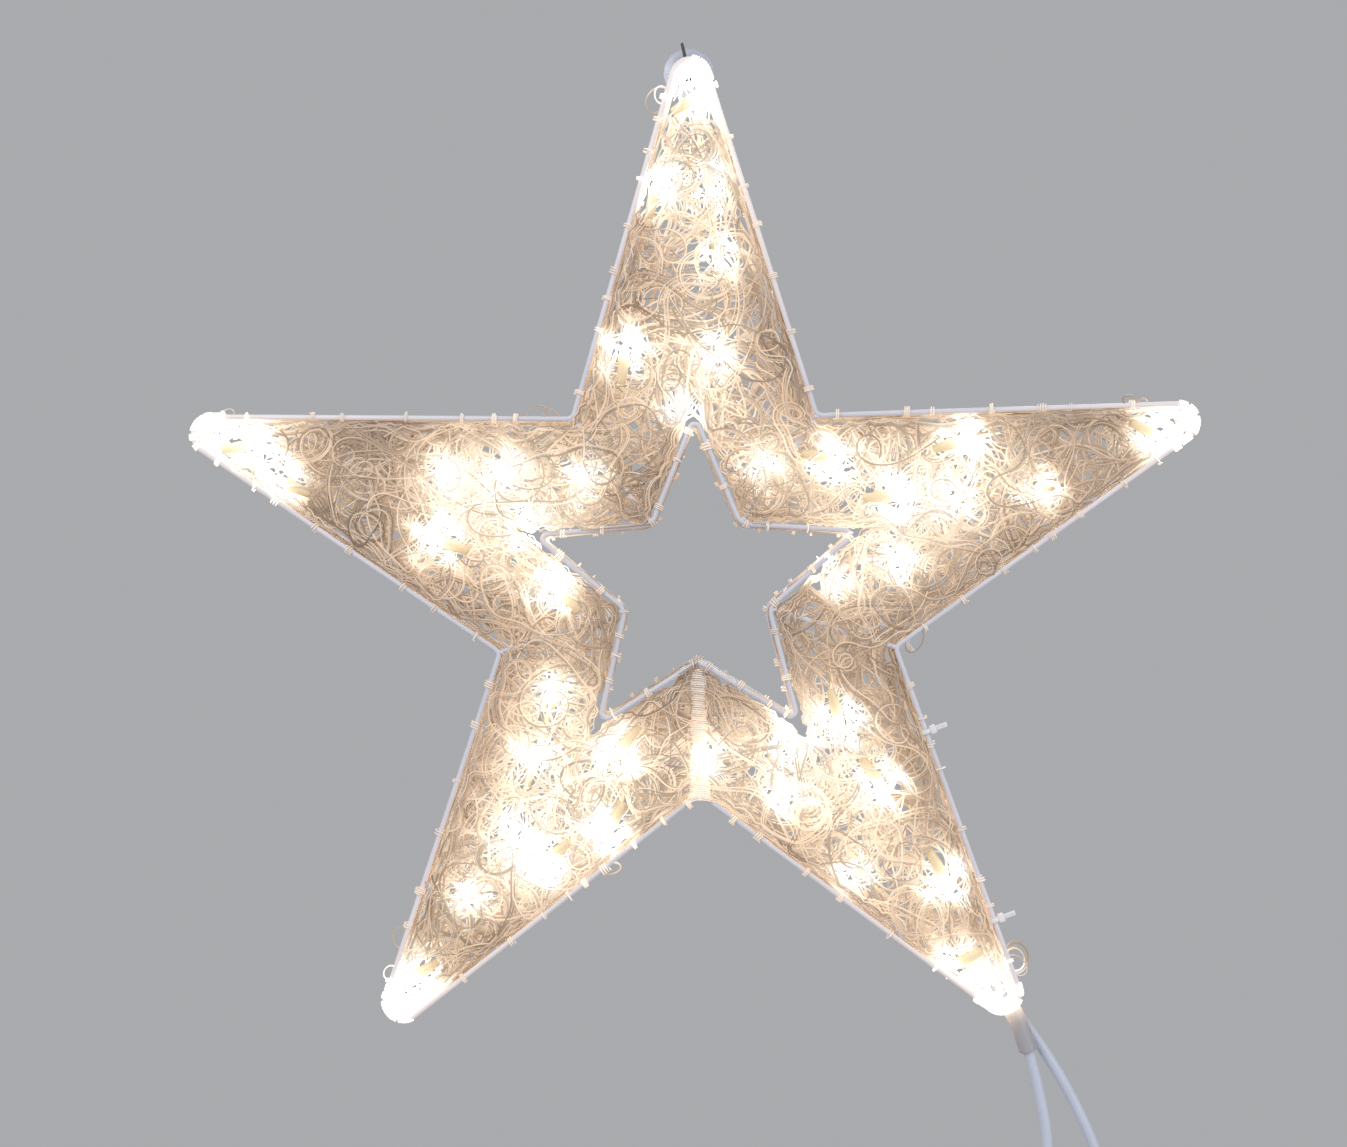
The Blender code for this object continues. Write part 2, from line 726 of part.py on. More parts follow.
def build_hook(hook, dark_steel):
    """Steel wire: an eye round the cup's neck, a run forward, and an upturned end."""
    eye_radius = neck_radius + seat_gap + hook_wire_radius
    line = hook_pivot.y
    points = []
    for step in range(eye_steps + 1):
        angle = eye_start_angle + (eye_end_angle - eye_start_angle) * step / eye_steps
        points.append((eye_radius * math.cos(angle), line, eye_radius * math.sin(angle)))
    tail = [points[-1]] + [(eye_radius * across, line - hook_wire_radius * forward, -hook_drop * down)
                           for across, down, forward in hook_tail_shares]
    points += smooth_run(tail, tail_steps)[1:]
    rise = bend_arc((-line, -hook_drop), (hook_reach, -hook_drop), (hook_reach, 0), hook_bend,
                    hook_bend_steps)
    points += [(0, -point[0], point[1]) for point in rise]
    points.append((-hook_end_lean, -hook_reach, hook_end_height))
    curve = tube_curve("hook", [Vector(point) - hook_pivot for point in points], hook_wire_radius)
    add("hook", curve, dark_steel, hook_pivot, parent=hook)


def joint_frame():
    """World place of the leads' joint and the way its leads leave it."""
    way = turned_point((0, 1), arm_turn * 2)
    out = Vector((way.x, 0, way.y))
    face = Vector(star_place(front_line - frame_depth / 2)) + out * (tip_reach - joint_inset)
    return face, out


def build_joint(star, white_plastic, nets):
    """The moulded joint of the leads in the lower right tip, and the window they leave by."""
    face, out = joint_frame()
    turn = (0, arm_turn * 2, 0)
    joint = box("lead_joint", (joint_width, joint_depth, joint_length),
                face - out * joint_length / 2, turn, star, white_plastic)
    edge = joint.modifiers.new("rounded edges", 'BEVEL')
    edge.width = joint_rounding
    edge.segments = 2
    window = box("lead window", (lead_window, lead_spread + 2 * (lead_radius + seat_gap),
                                 tip_bend), face + out * joint_inset, turn, star)
    boolean(nets["edge_band_3"], hide_cutter(window), 'DIFFERENCE')


def cord_node(name, points, star, white, round_steps=2):
    curve = tube_curve(name, [Vector(point) - star_pivot for point in points], lead_radius,
                       round_steps=round_steps)
    return add(name, curve, white, star_pivot, parent=star)


def trimmed(points, start, end):
    """A run cut short at both ends, by distances along it."""
    run = list(points)
    for cut, reverse in ((start, False), (end, True)):
        if reverse:
            run.reverse()
        while cut > (run[1] - run[0]).length:
            cut -= (run[1] - run[0]).length
            run.pop(0)
        run[0] = run[0] + (run[1] - run[0]).normalized() * cut
        if reverse:
            run.reverse()
    return run


def coil_points():
    """One tube spiralling in and out again in two layers, straight at both ends."""
    start = Vector(supply_route[-1])
    span = coil_turns / 2 * coil_pitch
    outer = coil_radius + span / 2
    away = Vector((math.cos(coil_start_angle), 0, math.sin(coil_start_angle)))
    centre = start - away * outer
    steps = round(coil_turns * coil_points_per_turn)
    points = []
    for step in range(steps + 1):
        share = step / steps
        angle = coil_start_angle + 2 * math.pi * coil_turns * share
        radius = outer - span * (1 - abs(1 - 2 * share))
        climb = min(max((share - 0.5) * coil_turns * 2 + 0.5, 0), 1)
        depth = coil_pitch * (3 * climb ** 2 - 2 * climb ** 3)
        points.append(centre + Vector((radius * math.cos(angle), -depth, radius * math.sin(angle))))
    for end, near in ((0, 1), (-1, -2)):
        way = (points[end] - points[near]).normalized()
        stub = points[end] + way * lead_radius * 2
        if end:
            points.append(stub)
        else:
            points.insert(0, stub)
    return points, centre


def least_self_gap(points, radius):
    """Least clear space between the turns of a tube, skipping each point's own stretch."""
    least = math.inf
    for index, point in enumerate(points):
        travelled = 0
        for other in range(index + 1, len(points)):
            travelled += (points[other] - points[other - 1]).length
            if travelled > radius * math.pi * 3:
                least = min(least, (points[other] - point).length - 2 * radius)
    return least


def build_leads(star, white, sleeve_plastic, dark_strap):
    """Supply lead with its coil and tail, link lead, and the sleeve on the supply lead."""
    supply = even_run(supply_route, tube_spacing)
    coil, centre = coil_points()
    join = (coil[0] - coil[1]).length
    cord_node("supply_lead", trimmed(supply, 0, join + seat_gap), star, white)
    cord_node("supply_coil", coil, star, white, round_steps=1)
    tail = even_run(tail_route, tube_spacing)
    cord_node("supply_tail", trimmed(tail, join + seat_gap, 0), star, white)
    link = even_run(link_route, tube_spacing)
    cord_node("link_lead", link, star, white)
    print("least gap in the coil, mm:", round(least_self_gap(coil, lead_radius) * 1000, 2))
    whole = run_length(supply) + run_length(coil[1:-1]) + run_length(tail)
    print("supply lead, m:", round(whole, 3))
    print("link lead, m:", round(run_length(link), 3))

    rest = run_length(supply) - sleeve_start - sleeve_length
    covered = trimmed(supply, sleeve_start, rest)
    curve = tube_curve("exit_sleeve", [point - star_pivot for point in covered], sleeve_radius)
    sleeve = made_solid(add("exit_sleeve", curve, sleeve_plastic, star_pivot, parent=star))
    bored = trimmed(supply, sleeve_start - overrun, rest - overrun)
    bore_curve = tube_curve("sleeve bore", [point - star_pivot for point in bored],
                            lead_radius + seat_gap)
    bore = made_solid(add("sleeve bore", bore_curve, None, star_pivot, parent=star))
    boolean(sleeve, hide_cutter(bore), 'DIFFERENCE')
    shade(sleeve.data)
    build_coil_tie(star, centre, dark_strap)


def build_coil_tie(star, centre, dark_strap):
    """A strap round all the turns of the coil."""
    span = coil_turns / 2 * coil_pitch
    turns_width = span + 2 * lead_radius
    turns_depth = coil_pitch + 2 * lead_radius
    inner = (turns_width + 2 * seat_gap, turns_depth + 2 * seat_gap)
    away = Vector((math.cos(coil_tie_angle), 0, math.sin(coil_tie_angle)))
    place = centre + away * coil_radius - Vector((0, coil_pitch / 2, 0))
    turn = (0, -coil_tie_angle, 0)
    strap = box("coil_tie", (inner[0] + 2 * coil_tie_thickness, inner[1] + 2 * coil_tie_thickness,
                             coil_tie_width), place, turn, star, dark_strap)
    opening = box("strap opening", (inner[0], inner[1], coil_tie_width + overrun), place, turn, star)
    boolean(strap, hide_cutter(opening), 'DIFFERENCE')


def connector_profile():
    """Outer side of a connector hanging down: strain relief, ribbed body and collar."""
    body_top = -relief_length
    body_low = body_top - plug_length
    profile = [(0, 0), (relief_radius, 0), (relief_radius, -relief_length * relief_straight_share),
               (plug_radius * relief_foot_share, body_top),
               (plug_radius, body_top - plug_length * shoulder_share)]
    rib_pitch = plug_length * rib_run_share / rib_count
    for rib in range(rib_count):
        top = profile[4][1] - rib_pitch * rib
        profile += [(plug_radius * (groove_radius_share if sunk else 1), top - rib_pitch * share)
                    for share, sunk in groove_place_shares]
    profile += [(plug_radius, body_low), (collar_radius, body_low),
                (collar_radius, body_low - collar_length), (0, body_low - collar_length)]
    return profile


def contact_pair(connector, place, top, low, operation, star):
    """Two thin rounds side by side, joined to a connector or cut from it."""
    for side in (-1, 1):
        contact = turned("contact", [(0, top), (pin_radius, top), (pin_radius, low), (0, low)],
                         pin_steps, None, place + Vector((side * pin_spread / 2, 0, 0)), parent=star)
        boolean(connector, hide_cutter(contact), operation)


def build_connectors(star, white):
    """Plug on the supply lead, with its pins inside its collar, and socket on the link lead."""
    mouth = -relief_length - plug_length - collar_length
    floor = mouth + recess_depth
    plug_place = Vector(tail_route[-1]) - Vector((0, 0, seat_gap))
    plug = turned("supply_plug", connector_profile(), connector_steps, white, plug_place,
                  parent=star)
    recess_radius = collar_radius - cap_wall
    recess = turned("plug recess", [(0, floor), (recess_radius, floor),
                                    (recess_radius, mouth - overrun), (0, mouth - overrun)],
                    connector_steps, None, plug_place, parent=star)
    boolean(plug, hide_cutter(recess), 'DIFFERENCE')
    contact_pair(plug, plug_place, floor + overrun, mouth + pin_inset, 'UNION', star)
    socket = turned("link_socket", connector_profile(), connector_steps, white, socket_place,
                    parent=star)
    contact_pair(socket, socket_place, mouth + collar_length, mouth - overrun, 'DIFFERENCE', star)


def build_cap(cap_pivot, white):
    """Cap pushed over the socket's collar, with a raised grip round its closed end."""
    inner = collar_radius + seat_gap
    outer = inner + cap_wall
    grip = outer + cap_grip
    rim = collar_length - seat_gap
    roof = -seat_gap - cap_wall
    grip_top = roof + (rim - roof) * cap_grip_share
    profile = [(0, -seat_gap), (inner, -seat_gap), (inner, rim), (outer, rim),
               (outer, grip_top + cap_grip), (grip, grip_top), (grip, roof + cap_grip),
               (grip - cap_grip, roof), (0, roof)]
    turned("link_cap", profile, connector_steps, white, cap_pivot.location, parent=cap_pivot)


# Sizes that several pieces share
notch_corner = turned_point((0, notch_reach), half_turn)
side_angle = math.atan2(notch_corner.x, corner_reach - notch_corner.y)
tip_reach = corner_reach - tip_bend * (1 / math.sin(side_angle) - 1)
arm_run = tip_reach - notch_corner.y
outer_side = arm_side(corner_reach, tip_bend, notch_reach, notch_bend, bend_steps,
                      small_bend_steps)
hole_side = arm_side(hole_corner_reach, hole_corner_bend, hole_notch_reach, hole_notch_bend,
                     small_bend_steps, hole_notch_steps)
brace_low = hole_side[-1].length + 2 * wire_radius + seat_gap
brace_high = outer_side[-1].length - 2 * wire_radius - seat_gap
rod_inset = net_thickness / 2 + wire_radius + seat_gap
socket_place = Vector(link_route[-1]) - Vector((0, 0, seat_gap))

clear_scene()
pieces = collection("christmas star")
cutters = collection("cutters")


def build():
    steel = material("white powder coat", (0.86, 0.87, 0.92), 0.35)
    thread = material("spun clear thread", (0.90, 0.84, 0.72), 0.25, glow=0.25)
    lamp_plastic = material("warm lamp", (1.0, 0.86, 0.55), 0.3, glow=1.0)
    clear_plastic = material("clear soft plastic", (0.72, 0.76, 0.88), 0.15)
    dark_steel = material("dark steel", (0.05, 0.045, 0.04), 0.35, metallic=0.9)
    white = material("white cable sheath", (0.72, 0.76, 0.86), 0.4)
    nylon = material("white nylon", (0.85, 0.87, 0.92), 0.4)
    sleeve_plastic = material("milky sleeve", (0.62, 0.63, 0.70), 0.3)
    strap = material("grey strap", (0.25, 0.26, 0.28), 0.8)

    hook = empty("hook pivot", hook_pivot)
    star = empty("star pivot", star_pivot)
    collar_end = Vector((0, 0, relief_length + plug_length + collar_length))
    cap_pivot = empty("cap pivot", socket_place - collar_end)
    build_cup(clear_plastic)
    build_hook(hook, dark_steel)
    build_frame(star, steel)
    nets = build_nets(star, thread)
    opened = ["front_net_3", "back_net_2", "back_net_1"]
    for name in opened + [f"edge_band_{arm + 1}" for arm in range(arm_count)]:
        nets[name] = made_solid(nets[name])
    cut_edge_gaps(star, nets)
    build_ties(star, nylon, nets)
    cut_hook_window(star, nets)
    build_lamps(star, lamp_plastic)
    build_joint(star, white, nets)
    build_leads(star, white, sleeve_plastic, strap)
    build_connectors(star, white)
    build_cap(cap_pivot, white)


build()
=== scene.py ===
"""Looks of the hanging christmas star with lights: spun thread, lamps, wires, leads.

Metres, Z up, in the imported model's frame: the star faces -Y and hangs below the suction cup.
"""
from math import atan2, cos, pi, radians, sin, sqrt, tan

import bpy
import numpy as np
from mathutils import Matrix, Vector


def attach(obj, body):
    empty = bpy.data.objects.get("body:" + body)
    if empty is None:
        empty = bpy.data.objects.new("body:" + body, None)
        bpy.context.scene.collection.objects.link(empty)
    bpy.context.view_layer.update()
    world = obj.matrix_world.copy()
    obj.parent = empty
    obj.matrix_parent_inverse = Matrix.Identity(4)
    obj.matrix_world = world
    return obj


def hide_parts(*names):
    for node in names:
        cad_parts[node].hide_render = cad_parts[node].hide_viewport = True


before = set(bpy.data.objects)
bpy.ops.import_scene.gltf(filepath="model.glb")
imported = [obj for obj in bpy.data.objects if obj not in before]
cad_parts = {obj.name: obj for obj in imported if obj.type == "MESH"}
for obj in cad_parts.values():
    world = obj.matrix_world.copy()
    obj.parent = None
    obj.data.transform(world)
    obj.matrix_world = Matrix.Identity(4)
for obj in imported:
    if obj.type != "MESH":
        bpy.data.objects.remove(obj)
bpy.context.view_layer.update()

# Sizes of the star, as in the solids
arm_count = 5
arm_turn = 2 * pi / arm_count
half_turn = arm_turn / 2
corner_reach = 0.283
tip_bend = 0.009
notch_reach = 0.103
notch_bend = 0.004
hole_corner_reach = 0.084
hole_corner_bend = 0.0025
hole_notch_reach = 0.0375
hole_notch_bend = 0.0075
wire_radius = 0.00125
brace_bend = 0.003
frame_depth = 0.040
back_line = 0.014
front_line = back_line + frame_depth
middle_line = front_line - frame_depth / 2
centre_height = -0.26593
seat_gap = 0.0003

# Thread
thread_radius = 0.00040
thread_step = 0.0027
thread_metres = {"front": 29.0, "back": 20.5, "edge": 13.5, "hole": 5.2}
strand_spread = 0.0010
over_wire = 0.0018
wire_margin = 0.0003
tightest_loop = 0.0032
walk_length = 0.24
face_walk_count = 170
band_walk_count = 110
hook_gap, hook_room, hook_line = 0.0048, 0.0100, -0.0232    # kept free for the hook
lead_gap, lead_room = 0.0036, 0.0110                        # and for the leads at their tip
lamp_gap, lamp_tail, lamp_nose = 0.0036, 0.0075, 0.0095     # and left open over most lamps

# Lamps
lamp_radius = 0.003
lamp_foot_radius = 0.0021
lens_radius = 0.0024
holder_length = 0.014
lens_length = 0.0055
lamp_wire_radius = 0.0008
lamp_sink = 0.0009
net_thickness = 0.0012
# Painted lamp glow: near and far reaches of the warm glow painted round each lens
near_glow = 0.0083
far_glow = 0.036
through_share = 0.26        # depth counts less in the painted glow, because the clear thread lets light through
tip_glow = 0.0155           # painted glow at a narrow tip, which fills with the light of its lamps

# Leads
lead_radius = 0.00275
coil_radius = 0.033
coil_turns = 6.25
coil_pitch = 0.0062
coil_start_angle = radians(135)
coil_tie_angle = radians(95)
lead_arm_turn = 2 * arm_turn
mouth = -0.061              # the open end of a plug or socket, below the end of its cord


def in_metres(pairs, per_metre=100000):
    """Pairs of whole numbers as metres; without a scale they are hundredths of a millimetre."""
    return [tuple(value / per_metre for value in pair) for pair in pairs]


# Each lead's x and z in tenths of a millimetre
supply_route = [(x, -0.0379, z) for x, z in in_metres((
    (1459, -4671), (1504, -4733), (1552, -4805), (1593, -4890), (1630, -5000), (1664, -5130),
    (1694, -5270), (1716, -5400), (1724, -5520), (1710, -5630), (1670, -5730), (1612, -5815),
    (1557, -5872), (1511, -5918)), 10000)]
tail_route = [(x, -0.0441, z) for x, z in in_metres((
    (1511, -6522), (1555, -6566), (1609, -6626), (1660, -6700), (1697, -6785), (1714, -6880),
    (1717, -6985)), 10000)]
link_route = [(x, -0.0301, z) for x, z in in_metres((
    (1459, -4671), (1504, -4733), (1556, -4802), (1620, -4885), (1695, -4990), (1775, -5115),
    (1855, -5260), (1930, -5420), (1992, -5580), (2042, -5750), (2078, -5930), (2100, -6120),
    (2110, -6320), (2112, -6520), (2112, -6700), (2112, -6860)), 10000)]

# Lamps of each arm in the order of the wire, along and across, in thousandths of the reach
lamp_place_shares = [
    [(380, -125), (670, -70), (845, -11), (745, 30), (610, 45), (445, 57), (352, -25),
     (235, 92)],
    [(270, -148), (350, -45), (495, -92), (830, -10), (670, 36), (520, 0), (385, 70), (268, 55)],
    [(310, -70), (440, -50), (640, -45), (810, 6), (610, 72), (420, 112), (352, 20), (285, 140)],
    [(285, -58), (410, -118), (520, -70), (825, 0), (715, 12), (580, 10), (450, 50), (335, 88)],
    [(205, -92), (425, -60), (720, -45), (845, -8), (515, 50), (420, 105), (350, 14), (270, 98)]]

# Stray loops of each arm: side, tenths of a millimetre from the tip and outwards, and lean
stray_places = [
    [(-1, 220, 110, 0.3), (-1, 190, 70, -0.3)],
    [(-1, 300, 60, 0.4), (-1, 240, 40, -0.2), (1, 1760, 90, 0.6)],
    [(-1, 210, 130, 0.3), (-1, 204, 122, 0.2), (-1, 196, 110, 0.1), (-1, 200, 95, 0.0),
     (-1, 170, 90, -0.5)],
    [(-1, 1280, 70, 0.7), (1, 360, 80, 0.4), (1, 180, 60, -0.2)],
    [(1, 1680, 80, 0.4), (1, 1750, 60, -0.5), (1, 150, 50, 0.2)]]


# ---- lines in the star's plane and in space

def turned_point(point, turn):
    """A point of the star's plane, turned clockwise about its centre."""
    return Vector((point[0] * cos(turn) + point[1] * sin(turn),
                   point[1] * cos(turn) - point[0] * sin(turn)))


def bend_arc(before, corner, after, radius, steps):
    """Points of the round that joins two straight runs at a corner."""
    before, corner, after = Vector(before), Vector(corner), Vector(after)
    into = (corner - before).normalized()
    out = (after - corner).normalized()
    half = into.angle(out) / 2
    middle = corner + (out - into).normalized() * radius / cos(half)
    start = corner - into * radius * tan(half) - middle
    sweep = into.angle_signed(out)
    return [middle + Matrix.Rotation(-sweep * step / steps, 2) @ start
            for step in range(steps + 1)]


def arm_side(reach, bend, low_reach, low_bend, steps):
    """One star point from notch to notch, clockwise, in the plane of the star."""
    tip = Vector((0, reach))
    notch = turned_point((0, low_reach), half_turn)
    left_notch = Vector((-notch.x, notch.y))
    tip_round = bend_arc(left_notch, tip, notch, bend, steps)
    right = bend_arc(tip, notch, turned_point(tip, arm_turn), low_bend, steps)[:steps // 2 + 1]
    left = [Vector((-point.x, point.y)) for point in reversed(right)]
    return left + tip_round + right


def whole_loop(side):
    return [turned_point(point, arm_turn * arm)
            for arm in range(arm_count) for point in side[:-1]]


def in_space(points, depth):
    """Points of the star's plane as points in space, at a depth in front of the pane."""
    return [Vector((point[0], -depth, centre_height + point[1])) for point in points]


def placed(point, turn, depth):
    """A point of the upright arm's plane in space, after a turn about the star's centre."""
    return in_space([turned_point(point, turn)], depth)[0]


def smooth_run(points, per_step):
    """Points of a smooth curve that passes through every point of a route."""
    route = [Vector(point) for point in points]
    route = [route[0] * 2 - route[1]] + route + [route[-1] * 2 - route[-2]]
    run = []
    for index in range(1, len(route) - 2):
        corners = route[index - 1:index + 3]
        times = [0]
        for before, after in zip(corners, corners[1:]):
            times.append(times[-1] + sqrt((after - before).length))
        for step in range(per_step):
            time = times[1] + (times[2] - times[1]) * step / per_step
            blend = corners
            for level in (1, 2, 3):
                low, high = (1, 2) if level == 3 else (0, level)
                blend = [a.lerp(b, (time - times[at + low]) / (times[at + high] - times[at + low]))
                         for at, (a, b) in enumerate(zip(blend, blend[1:]))]
            run.append(blend[0])
    run.append(route[-2])
    return run


def around(angle, radius=1, depth=0):
    return Vector((radius * cos(angle), -depth, radius * sin(angle)))


def coil_points():
    """One lead spiralling in and out again in two layers."""
    span = coil_turns / 2 * coil_pitch
    outer = coil_radius + span / 2
    centre = Vector(supply_route[-1]) - around(coil_start_angle) * outer
    steps = round(coil_turns * 48)
    points = []
    for step in range(steps + 1):
        share = step / steps
        angle = coil_start_angle + 2 * pi * coil_turns * share
        radius = outer - span * (1 - abs(1 - 2 * share))
        climb = min(max((share - 0.5) * coil_turns * 2 + 0.5, 0), 1)
        depth = coil_pitch * (3 * climb ** 2 - 2 * climb ** 3)
        points.append(centre + around(angle, radius, depth))
    return points, centre


outer_side = arm_side(corner_reach, tip_bend, notch_reach, notch_bend, 12)
hole_side = arm_side(hole_corner_reach, hole_corner_bend, hole_notch_reach, hole_notch_bend, 12)
outer_loop, hole_loop = whole_loop(outer_side), whole_loop(hole_side)
notch_corner = turned_point((0, notch_reach), half_turn)
hole_notch_corner = turned_point((0, hole_notch_reach), half_turn)
side_angle = atan2(notch_corner.x, corner_reach - notch_corner.y)
hole_side_angle = atan2(hole_notch_corner.x, hole_corner_reach - hole_notch_corner.y)
side_cos, side_sin = cos(side_angle), sin(side_angle)
hole_cos, hole_sin = cos(hole_side_angle), sin(hole_side_angle)
outer_line, hole_line = corner_reach * side_sin, hole_corner_reach * hole_sin
tip_reach = corner_reach - tip_bend * (1 / side_sin - 1)
brace_low = hole_side[-1].length + 2 * wire_radius + seat_gap
brace_high = outer_side[-1].length - 2 * wire_radius - seat_gap


def lamp_runs():
    """For each arm: the lamps' wire as route points, and each lamp's middle and way."""
    inset = net_thickness / 2 + seat_gap + lamp_radius
    front_lamp_line, back_lamp_line = front_line - inset, back_line + inset
    behind = lamp_radius + lamp_wire_radius - lamp_sink
    entry = turned_point((0, brace_low + (brace_high - brace_low) * 0.48), -half_turn)
    square = Vector((cos(half_turn), sin(half_turn)))
    ends = [entry + square * seat_gap / 2, entry + square * 0.004]
    arms = []
    for arm, places in enumerate(lamp_place_shares):
        highest = max(range(len(places)), key=lambda index: places[index][0])
        route = [(spot, middle_line) for spot in ends]
        for index, (along, across) in enumerate(places):
            depth = front_lamp_line - behind if index <= highest else back_lamp_line + behind
            route.append((Vector((across / 1000, along / 1000)) * corner_reach, depth))
        route += [(Vector((-spot.x, spot.y)), middle_line) for spot in reversed(ends)]
        route = [placed(spot, arm_turn * arm, depth) for spot, depth in route]
        run = smooth_run(route, 2)
        lamps = []
        for index in range(len(places)):
            knot = (index + 2) * 2
            way = run[knot + 1] - run[knot - 1]
            way.y = 0
            way.normalize()
            line = front_lamp_line if index <= highest else back_lamp_line
            lamps.append((Vector((run[knot].x, -line, run[knot].z)), way))
        arms.append((route, lamps))
    return arms


lamp_arms = lamp_runs()
lens_places = np.array([middle + way * (holder_length + lens_length) / 2
                        for _, lamps in lamp_arms for middle, way in lamps])
# Spots of painted glow, one inside each tip of the star
tip_places = np.array([placed((0, tip_reach - 0.011), arm_turn * arm, middle_line)
                       for arm in range(arm_count)])


# ---- finishes

def feed(tree, node, sockets):
    """Set a node's inputs, or link them where the value is another node's output."""
    for label, value in sockets.items():
        if isinstance(value, bpy.types.NodeSocket):
            tree.links.new(value, node.inputs[label])
        else:
            node.inputs[label].default_value = value


def wired(tree, kind, sockets=(), **settings):
    """The outputs of a new shader node."""
    node = tree.nodes.new('ShaderNode' + kind)
    for label, value in settings.items():
        setattr(node, label, value)
    feed(tree, node, dict(sockets))
    return node.outputs


def reckoned(tree, operation, *values):
    return wired(tree, 'Math', dict(enumerate(values)), operation=operation)[0]


def node_group(name, inputs, outputs):
    group = bpy.data.node_groups.new(name, 'ShaderNodeTree')
    for label, value in inputs.items():
        kind = 'NodeSocketColor' if isinstance(value, tuple) else 'NodeSocketFloat'
        group.interface.new_socket(label, in_out='INPUT', socket_type=kind).default_value = value
    for label, kind in outputs.items():
        group.interface.new_socket(label, in_out='OUTPUT', socket_type='NodeSocket' + kind)
    return group, group.nodes.new('NodeGroupInput').outputs, group.nodes.new('NodeGroupOutput')


def surface_group():
    """Soft patches of a second colour, uneven polish and a fine grain."""
    group, given, result = node_group(
        "uneven surface",
        {"Color": (0.8, 0.8, 0.8, 1), "Patch Color": (0.7, 0.7, 0.7, 1), "Patch Scale": 60.0,
         "Patch Amount": 0.5, "Roughness": 0.4, "Roughness Spread": 0.1, "Grain Scale": 900.0},
        {"Color": 'Color', "Roughness": 'Float', "Height": 'Float'})
    place = wired(group, 'TexCoord')['Object']
    patches, grain = [
        wired(group, 'TexNoise', {'Vector': place, 'Scale': given[scale], 'Detail': detail})['Fac']
        for scale, detail in (("Patch Scale", 3), ("Grain Scale", 2))]
    amount = wired(group, 'MapRange', {
        'From Min': 0.38, 'From Max': 0.66, 'Value': patches, 'To Max': given["Patch Amount"]})
    colour = wired(group, 'Mix', {
        'Factor': amount['Result'], 'A': given["Color"], 'B': given["Patch Color"]
        }, data_type='RGBA')['Result']
    polish = reckoned(group, 'MULTIPLY_ADD', patches, given["Roughness Spread"],
                      given["Roughness"])
    feed(group, result, {"Color": colour, "Roughness": polish, "Height": grain})
    return group


def lamp_light_group():
    """Painted warm glow in place of the light the lamps throw on what lies near them, from the
    stored painted lamp glow; Own Light is a painted glow all over.
    """
    group, given, result = node_group("painted lamp light", {"Own Light": 0.0, "Gain": 1.0, "Strand": 1.0},
                                      {"Light": 'Color'})
    painted_lamp_glow = wired(group, 'Attribute', attribute_name="painted_lamp_glow")['Fac']
    light = reckoned(group, 'MULTIPLY_ADD', painted_lamp_glow, given["Gain"], given["Own Light"])
    warm = group.nodes.new('ShaderNodeValToRGB')
    ramp = warm.color_ramp.elements
    for place, colour in ((0.0, (0, 0, 0)), (0.12, (0.058, 0.034, 0.019)),
                          (0.35, (0.31, 0.21, 0.125)), (0.62, (0.82, 0.67, 0.49)),
                          (1.0, (1.0, 0.94, 0.84))):
        ramp.new(place).color = (*colour, 1)
    for spare in [stop for stop in ramp if tuple(stop.color)[:3] == (1, 1, 1)]:
        ramp.remove(spare)
    feed(group, warm, {'Fac': light})
    # the painted glow's scale: the thread's own random tone, or more near a lens, up to a
    # blown-out white core
    over = reckoned(group, 'MULTIPLY_ADD', light, 1.3, -0.65)
    brighter = reckoned(group, 'MAXIMUM', over, given["Strand"])
    tone = wired(group, 'VectorMath', {0: warm.outputs['Color'], 'Scale': brighter},
                 operation='SCALE')['Vector']
    feed(group, result, {"Light": tone})
    return group


surface = surface_group()
painted_lamp_light = lamp_light_group()


def dress(thing, material):
    thing.data.materials.clear()
    thing.data.materials.append(material)


def new_material(name):
    made = bpy.data.materials.new(name)
    made.use_nodes = True
    return made, made.node_tree, made.node_tree.nodes['Principled BSDF']


def finish(name, colour, patch_colour, roughness, patches=60, patch_amount=0.5, spread=0.1,
           grain=900, grain_depth=0.0001, lit=None, strands=None, **sockets):
    """A material of the uneven surface, with a painted lamp glow as its emission where lit gives
    (own light, gain).
    strands is the colour of the darkest single thread."""
    made, tree, shader = new_material(name)
    colour, glow = (*colour, 1), {}
    if strands:
        island = wired(tree, 'NewGeometry')['Random Per Island']
        colour = wired(tree, 'Mix', {'A': (*strands, 1), 'B': colour, 'Factor': island},
                       data_type='RGBA')['Result']
        tone = wired(tree, 'MapRange', {'To Min': 0.48, 'To Max': 1.25, 'Value': island})
        glow["Strand"] = tone['Result']
    coat = wired(tree, 'Group', {
        "Color": colour, "Patch Color": (*patch_colour, 1), "Patch Scale": patches,
        "Patch Amount": patch_amount, "Roughness": roughness, "Roughness Spread": spread,
        "Grain Scale": grain}, node_tree=surface)
    bump = wired(tree, 'Bump', {
        'Strength': 0.6, 'Distance': grain_depth, 'Height': coat["Height"]})
    looks = {'Base Color': coat["Color"], 'Roughness': coat["Roughness"], 'Normal': bump['Normal']}
    # lit paints the lamps' glow into the emission: painted light
    if lit:
        glow |= {"Own Light": lit[0], "Gain": lit[1]}
        looks['Emission Color'] = wired(tree, 'Group', glow, node_tree=painted_lamp_light)["Light"]
        looks['Emission Strength'] = 1.0
    looks |= {label.replace("_", " "): value for label, value in sockets.items()}
    feed(tree, shader, looks)
    return made
